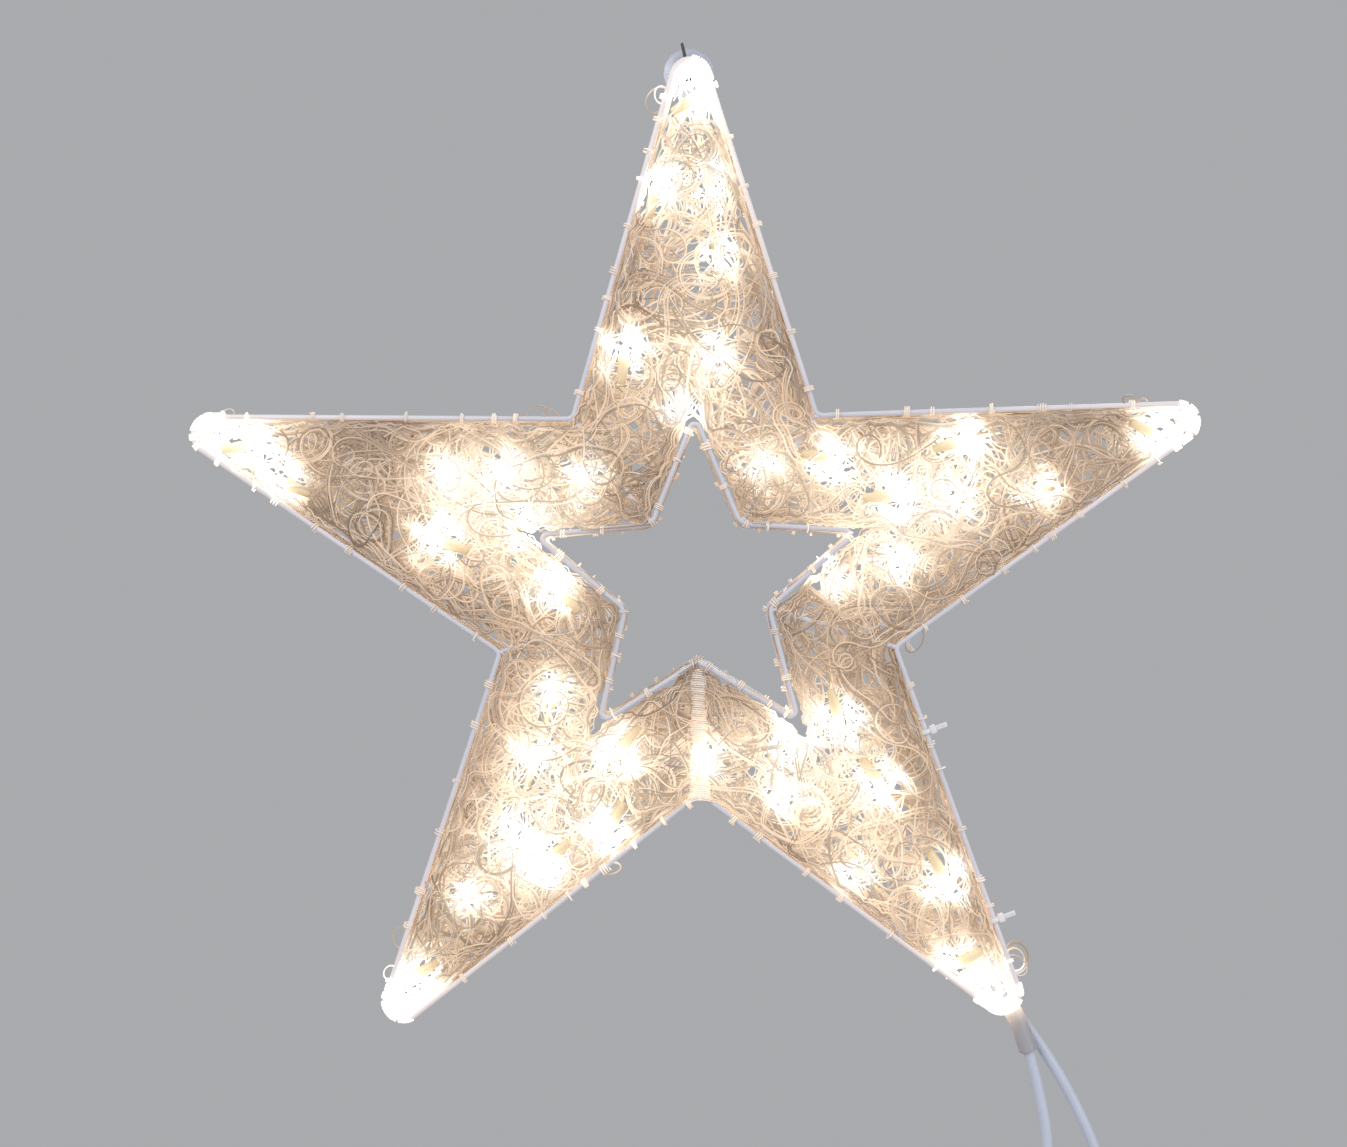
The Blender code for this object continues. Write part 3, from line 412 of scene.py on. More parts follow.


# Where a material below gives lit, the lamps' glow is painted into its emission
powder_coat = finish(
    "white powder coat", (0.66, 0.67, 0.75), (0.58, 0.59, 0.67), 0.34, patches=40, grain=1500,
    grain_depth=0.00006, lit=(0.0, 0.3))
# The thread is clear: its cream, tan and dark brown tones are painted warm lamp light and shade,
# varied at random by patch and by thread
thread = finish(
    "spun clear thread", (0.72, 0.61, 0.51), (0.46, 0.365, 0.295), 0.22, patches=45,
    patch_amount=0.8, grain=700, lit=(0.05, 1.0), strands=(0.17, 0.117, 0.088),
    Coat_Weight=0.6, Coat_Roughness=0.08)
# The same clear thread where it winds round the wires, painted paler as if lit, so the wraps read
# as bright as the wires
wound_thread_painted_lit = finish(
    "wound thread painted lit", (0.80, 0.76, 0.72), (0.70, 0.64, 0.58), 0.25, grain=700, lit=(0.08, 1.0),
    Coat_Weight=0.3, Coat_Roughness=0.12)
holder_plastic = finish(
    "pale yellow holder", (0.88, 0.74, 0.50), (0.83, 0.68, 0.44), 0.35, lit=(0.0, 0.2))
lamp_wire_plastic = finish(
    "clear lamp wire", (0.62, 0.56, 0.44), (0.50, 0.44, 0.33), 0.3, lit=(0.05, 0.9))
dark_steel = finish(
    "dark steel", (0.10, 0.095, 0.09), (0.16, 0.13, 0.10), 0.3, patches=300, spread=0.25,
    grain=2500, Metallic=0.9)
white_nylon = finish("white nylon", (0.80, 0.81, 0.84), (0.72, 0.74, 0.79), 0.42, lit=(0.0, 0.6))
white_sheath = finish(
    "white cable sheath", (0.61, 0.65, 0.76), (0.54, 0.58, 0.69), 0.38, patches=25, grain=1800,
    grain_depth=0.00005, lit=(0.0, 0.7))
white_moulding = finish(
    "white moulding", (0.74, 0.76, 0.81), (0.66, 0.69, 0.76), 0.45, patches=50, grain=2600,
    grain_depth=0.00012, lit=(0.0, 0.3))
grey_strap = finish(
    "grey strap", (0.12, 0.125, 0.135), (0.07, 0.073, 0.08), 0.85, patches=900, patch_amount=1.0,
    grain=1600, grain_depth=0.0005)
milky_sleeve = finish(
    "milky sleeve", (0.68, 0.68, 0.71), (0.60, 0.60, 0.63), 0.3, lit=(0.0, 0.85),
    Transmission_Weight=0.55, IOR=1.45)
clear_cup = finish(
    "clear soft plastic", (0.60, 0.62, 0.72), (0.54, 0.56, 0.66), 0.30, patches=120, grain=400,
    grain_depth=0.00004, Transmission_Weight=0.4, IOR=1.45)
pin_metal = finish(
    "plated pins", (0.72, 0.68, 0.58), (0.62, 0.58, 0.48), 0.2, patches=500, grain=2000,
    Metallic=1.0)
lens_light, lens_tree, lens_shader = new_material("lit lens")
feed(lens_tree, lens_shader, {
    'Base Color': (1.0, 0.94, 0.80, 1), 'Roughness': 0.15,
    'Emission Color': (1.0, 0.90, 0.70, 1), 'Emission Strength': 6.0})


# ---- modelling by hand

def alone(thing):
    """Make a piece the only one that is selected."""
    bpy.ops.object.select_all(action='DESELECT')
    thing.select_set(True)
    bpy.context.view_layer.objects.active = thing
    return thing


def fixed(thing):
    """Apply a piece's place, turn and size."""
    alone(thing)
    bpy.ops.object.transform_apply(location=True, rotation=True, scale=True)
    return thing


def added(name, data):
    """A new object in the scene."""
    thing = bpy.data.objects.new(name, data)
    bpy.context.scene.collection.objects.link(thing)
    return thing


def primitive(kind, **settings):
    bpy.ops.object.select_all(action='DESELECT')
    getattr(bpy.ops.mesh, f"primitive_{kind}_add")(**settings)
    return bpy.context.object


def paint_lamp_glow(thing):
    """Store on each point of a piece a painted lamp glow: how near it lies to the lamps' lenses,
    and to a glow spot in each tip.
    """
    count = len(thing.data.vertices)
    spots = np.empty(count * 3, np.float32)
    thing.data.vertices.foreach_get("co", spots)
    spots = spots.reshape(-1, 3)
    spots += 0.0022 * np.sin(spots[:, [2, 0, 0]] / 0.0031 + spots[:, [0, 1, 2]] / 0.0047)
    painted_lamp_glow = np.zeros(count, np.float32)
    # painted glow: near and far round each lens, and in each tip
    for places, reach, gain in ((lens_places, near_glow, 3.2), (lens_places, far_glow, 0.25),
                                (tip_places, tip_glow, 1.5)):
        for place in places:
            off = spots - place.astype(np.float32)
            off[:, 1] *= through_share
            painted_lamp_glow += gain * np.exp(-(off ** 2).sum(axis=1) / reach ** 2)
    stored = thing.data.attributes.new("painted_lamp_glow", 'FLOAT', 'POINT')
    stored.data.foreach_set("value", painted_lamp_glow)


def settle(thing, name, material, slot, *nodes, body="star", smooth=35, lamps=False):
    """Apply a piece's place, name it, dress it and seat it on its body."""
    fixed(thing).name = thing.data.name = name
    dress(thing, material)
    bpy.ops.object.shade_smooth_by_angle(angle=radians(smooth))
    # pieces near the lamps get the painted lamp glow
    if lamps:
        paint_lamp_glow(thing)
    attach(thing, body)
    if nodes:
        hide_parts(*nodes)
    return thing


def joined(things):
    for thing in things:
        fixed(thing)
    for thing in things:
        thing.select_set(True)
    bpy.context.view_layer.objects.active = things[0]
    bpy.ops.object.join()
    return things[0]


def drawn_curve(name, runs, radius, sides=12, closed=False, radii=None):
    curve = bpy.data.curves.new(name, 'CURVE')
    curve.dimensions = '3D'
    curve.bevel_depth = radius
    curve.bevel_resolution = (sides - 4) // 2
    curve.use_fill_caps = not closed
    for index, run in enumerate(runs):
        spline = curve.splines.new('POLY')
        spline.points.add(len(run) - 1)
        places = np.ones((len(run), 4), np.float32)
        places[:, :3] = run
        spline.points.foreach_set("co", places.ravel())
        if radii is not None:
            spline.points.foreach_set("radius", radii[index])
        spline.use_cyclic_u = closed
        spline.use_smooth = True
    return added(name, curve)


def drawn_wire(runs, radius, **settings):
    alone(drawn_curve("wire", runs, radius, **settings))
    bpy.ops.object.convert(target='MESH')
    return bpy.context.object


def drawn_up(profile, sides, place=(0, 0, 0), turn=(0, 0, 0)):
    """Extrude and scale a disc ring by ring up its own Z, through (radius, height) pairs."""
    radius, height = profile[0]
    thing = fixed(primitive('circle', vertices=sides, radius=radius, fill_type='NGON',
                            location=(0, 0, height)))
    bpy.ops.object.mode_set(mode='EDIT')
    bpy.ops.mesh.select_all(action='SELECT')
    for next_radius, next_height in profile[1:]:
        bpy.ops.mesh.extrude_region_move(
            TRANSFORM_OT_translate={"value": (0, 0, next_height - height)})
        share = next_radius / radius
        bpy.ops.transform.resize(value=(share, share, 1), center_override=(0, 0, next_height))
        radius, height = next_radius, next_height
    bpy.ops.mesh.select_all(action='SELECT')
    bpy.ops.mesh.normals_make_consistent(inside=False)
    bpy.ops.object.mode_set(mode='OBJECT')
    thing.location = place
    thing.rotation_euler = turn
    return thing


def cube(size, place, turn=(0, 0, 0), bevel=0.0, segments=3):
    thing = primitive('cube', size=1, location=place, rotation=turn)
    thing.scale = size
    bpy.ops.object.transform_apply(location=False, rotation=False, scale=True)
    if bevel:
        soften(thing, bevel, segments)
    return thing


def altered(thing, kind, **settings):
    """Apply a modifier to a piece."""
    alone(thing)
    modifier = thing.modifiers.new("change", kind)
    for label, value in settings.items():
        setattr(modifier, label, value)
    bpy.ops.object.modifier_apply(modifier=modifier.name)


def soften(thing, width, segments=3):
    altered(thing, 'BEVEL', width=width, segments=segments, limit_method='ANGLE',
            angle_limit=radians(35))


# ---- camera, backdrop and light

def set_stage():
    scene = bpy.context.scene
    scene.view_settings.view_transform = 'Standard'
    camera = added("camera", bpy.data.cameras.new("camera"))
    camera.data.lens = 59.34
    camera.data.sensor_width = 36
    camera.location = (-0.0115, -1.154, -0.2598)
    camera.rotation_euler = (radians(90), radians(0.78), 0)
    scene.camera = camera

    backdrop = (0.40, 0.405, 0.42, 1)
    scene.world = bpy.data.worlds.new("studio")
    scene.world.use_nodes = True
    tree = scene.world.node_tree
    light = tree.nodes['Background']
    feed(tree, light, {'Color': (0.95, 0.97, 1.0, 1), 'Strength': 0.55})
    seen = wired(tree, 'Background', {'Color': backdrop})[0]
    rays = wired(tree, 'LightPath')
    either = rays['Is Camera Ray']
    for kind in ('Is Glossy Ray', 'Is Transmission Ray'):
        either = reckoned(tree, 'MAXIMUM', either, rays[kind])
    pick = wired(tree, 'MixShader', {'Fac': either, 1: light.outputs[0], 2: seen})[0]
    feed(tree, tree.nodes['World Output'], {'Surface': pick})

    floor = primitive('circle', vertices=64, radius=6, fill_type='NGON', location=(0, 0, -0.80))
    floor.name = "floor"
    pale, tree, ground = new_material("pale floor")
    dress(floor, pale)
    feed(tree, ground, {'Base Color': (0.46, 0.465, 0.48, 1), 'Roughness': 0.9})
    far = wired(tree, 'Emission', {'Color': backdrop})[0]
    away = wired(tree, 'VectorMath', {0: wired(tree, 'TexCoord')['Object']}, operation='LENGTH')
    fade = wired(tree, 'MapRange', {'From Min': 0.25, 'From Max': 0.85, 'Value': away['Value']},
                 interpolation_type='SMOOTHSTEP')['Result']
    blend = wired(tree, 'MixShader', {'Fac': fade, 1: ground.outputs[0], 2: far})[0]
    under, clear = wired(tree, 'NewGeometry')['Backfacing'], wired(tree, 'BsdfTransparent')[0]
    above = wired(tree, 'MixShader', {'Fac': under, 1: blend, 2: clear})[0]
    feed(tree, tree.nodes['Material Output'], {'Surface': above})

    for name, place, aim_turn, size, power in (
            ("key light", (-0.9, -1.3, 0.55), (58, 0, -35), 0.9, 11),
            ("fill light", (1.1, -1.0, -0.1), (82, 0, 48), 1.0, 6),
            ("rim light", (0.3, 1.2, 0.6), (-55, 0, -14), 0.9, 7)):
        lamp = bpy.data.lights.new(name, 'AREA')
        lamp.size = size
        lamp.energy = power
        holder = added(name, lamp)
        holder.location = place
        holder.rotation_euler = [radians(turn) for turn in aim_turn]


# ---- spun thread

def in_arm(points):
    """Each point's arm, its side of that arm, and its place across and along the arm."""
    reach = np.hypot(points[:, 0], points[:, 1])
    angle = np.arctan2(points[:, 0], points[:, 1])
    arm = np.round(angle / arm_turn) * arm_turn
    sign = np.where(angle < arm, -1.0, 1.0)
    return arm, sign, np.abs(reach * np.sin(angle - arm)), reach * np.cos(angle - arm)


def out_of_arm(arm, x, y):
    return np.column_stack([x * np.cos(arm) + y * np.sin(arm), y * np.cos(arm) - x * np.sin(arm)])


def in_front(flat, depth):
    """Points of the star's plane as rows of points in space, in front of the pane."""
    return np.column_stack([flat[:, 0], -depth, centre_height + flat[:, 1]])


def kept_in(points):
    """Push points of the star's plane off the outer wire and the hole's wire."""
    arm, sign, x, y = in_arm(points)
    for side, straight, outwards, start, end in ((hole_side_angle, hole_line, 1.0, 0, 20),
                                                 (side_angle, outer_line, -1.0, 36, 15)):
        line = straight + outwards * wire_margin
        gap = x * cos(side) + y * sin(side) - line
        wrong = gap * outwards < 0
        share = np.clip((np.arctan2(x, y) - radians(start)) / radians(end - start), 0, 1)
        share = share * share * (3 - 2 * share)
        far = np.maximum(np.hypot(x, y), 1e-6)
        way_x = share * cos(side) + (1 - share) * x / far
        way_y = share * sin(side) + (1 - share) * y / far
        step = gap / (way_x * cos(side) + way_y * sin(side))
        x = np.where(wrong, x - way_x * step, x)
        y = np.where(wrong, y - way_y * step, y)
        past_tip = wrong & (x < 0)
        past_notch = wrong & (np.arctan2(x, y) > half_turn)
        notch = line / sin(half_turn + side)
        x = np.where(past_tip, 0, np.where(past_notch, notch * sin(half_turn), x))
        y = np.where(past_tip, line / sin(side),
                     np.where(past_notch, notch * cos(half_turn), y))
    return out_of_arm(arm, x * sign, np.minimum(y, tip_reach - wire_margin))


def face_fence(points):
    """Distance to the nearest wire of a face, and the way out over it."""
    arm, sign, x, y = in_arm(points)
    away = outer_line - x * side_cos - y * side_sin
    out_x, out_y = np.full(len(x), side_cos), np.full(len(x), side_sin)
    up = y - (tip_reach - tip_bend)
    far = np.maximum(np.hypot(x, up), 1e-6)
    round_tip = (up > 0) & (up * side_cos > x * side_sin)
    away = np.where(round_tip, tip_bend - far, away)
    out_x, out_y = np.where(round_tip, x / far, out_x), np.where(round_tip, up / far, out_y)
    hole = x * hole_cos + y * hole_sin - hole_line
    by_hole = hole < away
    out_x = np.where(by_hole, -hole_cos, out_x)
    out_y = np.where(by_hole, -hole_sin, out_y)
    return np.where(by_hole, hole, away), out_of_arm(arm, out_x * sign, out_y)


def band_fence(points):
    """Distance to the front or back wire along the side of the star, and the way out over it."""
    away = frame_depth / 2 - np.abs(points[:, 1])
    return away, np.column_stack([np.zeros(len(points)), np.sign(points[:, 1])])


def walks(draw, starts, radii, fence):
    """Threads laid down in loops that tighten and open, and that turn back at the wires."""
    spots = np.array(starts, float)
    count, steps = len(spots), int(walk_length / thread_step)
    bend = np.array([draw.uniform(0.3, 1) + 1.1 * slow_wave(draw, steps, 1)
                     + 0.8 * slow_wave(draw, steps, 1, 2.4) for _ in range(count)])
    bend = np.clip(bend / np.array(radii)[:, None], -1 / 0.0040, 1 / tightest_loop)
    bend *= draw.choice([-1, 1], count)[:, None]
    heading = draw.uniform(0, 2 * pi, count)
    give = draw.uniform(0, 0.002, count)
    path = np.empty((steps, count, 2))
    for step in range(steps):
        away, out = fence(spots)
        ahead = np.column_stack([np.cos(heading), np.sin(heading)])
        outward = (ahead * out).sum(axis=1)
        turning = np.where(out[:, 0] * ahead[:, 1] > out[:, 1] * ahead[:, 0], 1, -1)
        near = (away < give + tightest_loop * (1 + outward)) & (outward > -0.08)
        heading = heading + thread_step * np.where(near, turning / tightest_loop, bend[:, step])
        spots = spots + thread_step * np.column_stack([np.cos(heading), np.sin(heading)])
        path[step] = spots
    return path.transpose(1, 0, 2)


def beside(ahead):
    """The unit way to the left of each step."""
    ahead = ahead / np.maximum(np.linalg.norm(ahead, axis=1, keepdims=True), 1e-9)
    return np.column_stack([-ahead[:, 1], ahead[:, 0]])


def bundle(draw, path):
    """A few threads side by side along a path, that spread and cross."""
    normal = beside(np.gradient(path, axis=0))
    steps, count = len(path), draw.integers(1, 4)
    opening = 1 + slow_wave(draw, steps, 0.6)
    for index in range(count):
        off = (index - (count - 1) / 2) * strand_spread * opening + slow_wave(draw, steps, 0.0009)
        first, last = draw.integers(0, 10), steps - draw.integers(0, 10)
        yield (path + normal * off[:, None])[first:last]


def brace_distance(points):
    """Distance across to the nearest brace, which runs from each notch to the hole."""
    _, _, x, y = in_arm(points)
    reach, off = np.hypot(x, y), np.abs(x * cos(half_turn) - y * sin(half_turn))
    return np.where((reach > brace_low - 0.002) & (reach < brace_high + 0.002), off, 1.0)


def over_wires(out_depth, away):
    """Lift a thread where it passes over a wire."""
    lift = np.sqrt(np.maximum(over_wire ** 2 - away ** 2, 0))
    return np.where(np.abs(away) < over_wire, np.maximum(out_depth, lift), out_depth)


def slow_wave(draw, steps, size, pace=1.0):
    waves = np.zeros(steps)
    for share in (0.6, 0.4):
        turn, start = draw.uniform(0.05, 0.35), draw.uniform(0, 6.3)
        waves += share * np.sin(np.arange(steps) * turn * pace + start)
    return size * waves


class Cover:
    """Counts how much thread lies where, so that the next one goes where there is least."""
    cell = 0.003

    def __init__(self, wide, high):
        self.count = np.zeros((int(wide / self.cell) + 12, int(high / self.cell) + 12))
        self.low = np.array([wide, high]) / 2

    def cells(self, points):
        places = ((points + self.low) / self.cell + 6).astype(int)
        return tuple(np.clip(places, 2, np.array(self.count.shape) - 3).T)

    def under(self, points):
        return self.count[self.cells(points)].mean()

    def lay(self, points):
        np.add.at(self.count, self.cells(points), 1)


def clear_of_parts(run):
    """Keep a thread off the hook at the top tip and off the leads at the lower right tip."""
    top = centre_height + tip_reach
    by_hook = ((np.abs(run[:, 0]) < hook_gap) & (run[:, 2] > top - hook_room)
               & (run[:, 1] > hook_line))
    run[by_hook, 1] = hook_line
    out_x, out_z = sin(lead_arm_turn), cos(lead_arm_turn)
    flat = run[:, [0, 2]] - np.array([0, centre_height])
    along = flat @ np.array([out_x, out_z])
    across = flat @ np.array([out_z, -out_x])
    close = ((np.abs(across) < lead_gap) & (along > tip_reach - lead_room)
             & (np.abs(run[:, 1] + 0.034) < 0.0075))
    push = np.where(across < 0, -1, 1) * lead_gap - across
    run[close, 0] += push[close] * out_z
    run[close, 2] -= push[close] * out_x
    return run


def unbroken(run, under=()):
    """A run parted where it would jump across the hole, and left off under the lamps given."""
    seen = np.ones(len(run), bool)
    for middle, way in under:
        off = run[:, [0, 2]] - (middle.x, middle.z)
        along = off @ (way.x, way.z)
        across = off @ (-way.z, way.x)
        seen &= (np.abs(across) > lamp_gap) | (along < -lamp_tail) | (along > lamp_nose)
    parts = np.flatnonzero((np.linalg.norm(np.diff(run, axis=0), axis=1) > 0.009)
                           | (seen[1:] != seen[:-1])) + 1
    return [part for part, shown in zip(np.split(run, parts), np.split(seen, parts))
            if shown[0] and len(part) > 3]


def over_arm(x, y):
    """Whether a point of an upright arm lies between the outer wire and the hole's wire."""
    across = abs(x)
    return (atan2(across, y) <= half_turn and across * side_cos + y * side_sin < outer_line
            and across * hole_cos + y * hole_sin > hole_line)


def laid_down(draw, paths, metres, cover, middle, bases, place):
    """Thread along the paths, where least lies first, until it is so many metres long."""
    paths, runs, laid = list(paths), [], 0
    while laid < metres and paths:
        some = draw.choice(len(paths), min(10, len(paths)), replace=False)
        path = paths.pop(min(some, key=lambda index: cover.under(paths[index] - middle)))
        base = draw.uniform(*bases)
        for flat in bundle(draw, path):
            for run in place(flat, base):
                runs.append(run)
                laid += np.linalg.norm(np.diff(run, axis=0), axis=1).sum()
    return runs


def face_threads(arm, side_name, cover):
    """Bundles of thread over one arm's front or back."""
    seed, line, outwards = (7, front_line, 1) if side_name == "front" else (57, back_line, -1)
    draw = np.random.default_rng(100 * arm + seed)
    starts = []
    while len(starts) < face_walk_count:
        x, y = draw.uniform(-0.062, 0.062), draw.uniform(0.03, tip_reach - 0.004)
        if over_arm(x, y):
            starts.append(turned_point((x, y), arm_turn * arm))
    radii = draw.uniform(0.006, 0.017, face_walk_count)
    near_side = [lamp for _, lamps in lamp_arms for lamp in lamps
                 if abs(-lamp[0].y - line) < frame_depth / 2]

    def place(flat, base):
        flat = kept_in(flat)
        cover.lay(flat)
        depth = base + draw.uniform(-0.0003, 0.0003) + slow_wave(draw, len(flat), 0.0005)
        away = np.minimum(np.abs(face_fence(flat)[0]), brace_distance(flat))
        run = in_front(flat, line + outwards * over_wires(depth, away))
        return unbroken(clear_of_parts(run), near_side if draw.random() < 0.94 else ())

    return laid_down(draw, walks(draw, starts, radii, face_fence), thread_metres[side_name],
                     cover, 0, (-0.0012, 0.0007), place)


class Track:
    """Places at a distance along a closed outline and off it, outwards."""
    def __init__(self, loop):
        self.points = np.array([tuple(point) for point in loop + loop[:1]])
        steps = np.linalg.norm(np.diff(self.points, axis=0), axis=1)
        self.ends = np.concatenate([[0], np.cumsum(steps)])
        self.length = self.ends[-1]

    def at(self, distance, off=0.0):
        here, ahead, behind = [
            np.column_stack([np.interp(np.mod(distance + step, self.length), self.ends, line)
                             for line in self.points.T]) for step in (0, 0.0012, -0.0012)]
        return here + beside(ahead - behind) * np.reshape(off, (-1, 1))


outer_track, hole_track = Track(outer_loop), Track(hole_loop)


def band_threads(arm, kind, track, seed, cover):
    """Bundles of thread over the side of the star between its front and back wires."""
    draw = np.random.default_rng(1000 * seed + arm)
    stretch = track.length / arm_count
    half_track = np.array([track.length / 2, 0])
    limit = frame_depth / 2 - 0.0004
    starts = np.column_stack([stretch * (arm + draw.uniform(0, 1, band_walk_count)),
                              draw.uniform(-0.45, 0.45, band_walk_count) * frame_depth])
    radii = draw.uniform(0.006, 0.015, band_walk_count)

    def place(flat, base):
        across = np.clip(flat[:, 1], -limit, limit)
        cover.lay(np.column_stack([np.mod(flat[:, 0], track.length), across]) - half_track)
        off = base + slow_wave(draw, len(flat), 0.0005)
        spots = track.at(flat[:, 0], over_wires(off, frame_depth / 2 - np.abs(across)))
        return [clear_of_parts(in_front(spots, middle_line + across))]

    return laid_down(draw, walks(draw, starts, radii, band_fence), thread_metres[kind],
                     cover, half_track, (-0.0007, 0.0003), place)


def wire_wraps(arm, track, depth, spacing, seed, outwards, tip_share=1):
    """A few turns of thread round a wire, every so often, and closer together at the tip."""
    draw = np.random.default_rng(2000 * seed + arm)
    stretch = track.length / arm_count
    runs = []
    place = stretch * arm + draw.uniform(0, spacing)
    while place < stretch * (arm + 1):
        from_tip = abs((place / stretch) % 1 - 0.5) * stretch
        close = from_tip < 0.016 and tip_share < 1
        turns = draw.uniform(3.5, 6.5) if close else draw.uniform(1.1, 3.2)
        steps = int(turns * 11) + 4
        angle = draw.uniform(0, 6.3) + np.linspace(0, 2 * pi * turns, steps)
        loose = draw.uniform(0.0017, 0.0020) if close else draw.uniform(0.0018, 0.0024)
        stand = 0 if close else draw.uniform(0, 0.0007)
        pitch = 0.0007 if close else draw.uniform(0.0007, 0.0015)
        spots = track.at(place + np.linspace(0, turns * pitch, steps),
                         outwards * stand + loose * np.cos(angle))
        runs.append(clear_of_parts(in_front(spots, depth - loose * np.sin(angle))))
        place += spacing * draw.uniform(0.5, 1.6) * (tip_share if close else 1)
    return runs


def spun_piece(name, runs, material, seed, *nodes):
    draw = np.random.default_rng(seed)
    radii = []
    for run in runs:
        thick, pace, start = [draw.uniform(*ends) for ends in ((0.75, 1.2), (0.1, 0.7), (0, 6.3))]
        radii.append(thick * (1 + 0.14 * np.sin(np.arange(len(run)) * pace + start)))
    piece = drawn_wire(runs, thread_radius, sides=4, radii=radii)
    settle(piece, name, material, "spun_thread", *nodes, smooth=180, lamps=True)


def stray_loops(arm):
    """Loops of thread that stand out past the wire, with both ends back in the skin."""
    runs = []
    for side, inset, reach, lean in stray_places[arm]:
        inset, reach = inset / 10000, reach / 10000
        turn = np.linspace(-0.35 * pi, 1.35 * pi, 26)
        along = inset + reach * 0.62 * np.cos(turn) + lean * reach * 0.4 * np.sin(turn)
        out = reach * 0.5 * (np.sin(turn) + 0.62)
        y = tip_reach - along * side_cos + out * side_sin
        x = side * ((corner_reach - y + out * side_sin) * tan(side_angle) + out * side_cos)
        flat = np.array([tuple(turned_point(spot, arm_turn * arm)) for spot in zip(x, y)])
        runs.append(in_front(flat, front_line + 0.0008 * np.cos(turn) - 0.0003))
    return runs


def bound_notch():
    """Thread wound closely round the brace under the hole."""
    draw = np.random.default_rng(9)
    steps, turns = 1150, 72
    share = np.linspace(0, 1, steps)
    turn = 2 * pi * turns * share
    wide = (np.interp(share, (0, 0.1, 0.35, 0.75, 0.92, 1), (1.6, 3.0, 3.4, 4.1, 5.4, 6.6)) / 1000
            + 0.0006 * np.sin(19 * share) + 0.0004 * draw.standard_normal(steps))
    sag = 0.0020 * np.clip(share * 5 - 4, 0, 1) * np.cos(turn) ** 2
    along = -brace_low - (brace_high + 0.0052 - brace_low) * share - sag
    return [in_front(np.column_stack([wide * np.cos(turn), along]),
                     front_line + 0.0006 + 0.0021 * np.sin(turn))]


def spin_threads():
    skins = (("front", None), ("back", None), ("edge", outer_track), ("hole", hole_track))
    covers = {kind: Cover(track.length, frame_depth) if track else Cover(0.56, 0.56)
              for kind, track in skins}
    wraps = {"front": [], "back": []}
    for arm in range(arm_count):
        for index, (kind, track) in enumerate(skins):
            if track:
                runs = band_threads(arm, kind, track, 3 + index, covers[kind])
            else:
                runs = face_threads(arm, kind, covers[kind])
            if kind == "front":
                runs += stray_loops(arm)
            spun_piece(f"{kind}_threads_{arm + 1}", runs, thread, 11 + 10 * index + arm,
                       f"{kind}_{'band' if track else 'net'}_{arm + 1}")
        for kind, line, seed in (("front", front_line, 1), ("back", back_line, 3)):
            wraps[kind] += wire_wraps(arm, outer_track, line, 0.021, seed, 1, 0.15)
            wraps[kind] += wire_wraps(arm, hole_track, line, 0.017, seed + 1, -1)
    wraps["front"] += bound_notch()
    for kind, runs in wraps.items():
        spun_piece(f"{kind}_thread_wraps", runs, wound_thread_painted_lit, 51)


# ---- wire frame

def build_wires():
    for side_name, depth in (("front", front_line), ("back", back_line)):
        for kind, loop in (("outline", outer_loop), ("hole", hole_loop)):
            name = f"{side_name}_{kind}"
            wire = drawn_wire([in_space(loop, depth)], wire_radius, closed=True)
            settle(wire, name + "_tube", powder_coat, "white_powder_coat", name + "_wire",
                   smooth=60, lamps=True)
    deep = frame_depth / 2
    corners = [(brace_low, -deep), (brace_high, -deep), (brace_high, deep), (brace_low, deep)]
    ring = []
    for index, corner in enumerate(corners):
        ring += bend_arc(corners[index - 1], corner, corners[(index + 1) % 4], brace_bend, 8)
    for arm in range(arm_count):
        turn = arm_turn * arm + half_turn
        name = f"brace_ring_{arm + 1}"
        points = [placed((0, reach), turn, middle_line - depth) for reach, depth in ring]
        pieces = [drawn_wire([points], wire_radius, closed=True)]
        for reach in (brace_low - wire_radius, brace_high + wire_radius):
            for depth in (front_line, back_line):
                bead = primitive('uv_sphere', segments=12, ring_count=8, radius=0.0013,
                                 location=placed((0, reach), turn, depth))
                bead.scale = (1.25, 0.9, 0.9)
                pieces.append(bead)
        settle(joined(pieces), name, powder_coat, "white_powder_coat",
               f"notch_brace_{arm + 1}", smooth=60, lamps=True)
        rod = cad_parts[f"spacer_rod_{arm + 1}"]
        dress(rod, powder_coat)
        paint_lamp_glow(rod)


# ---- lamps

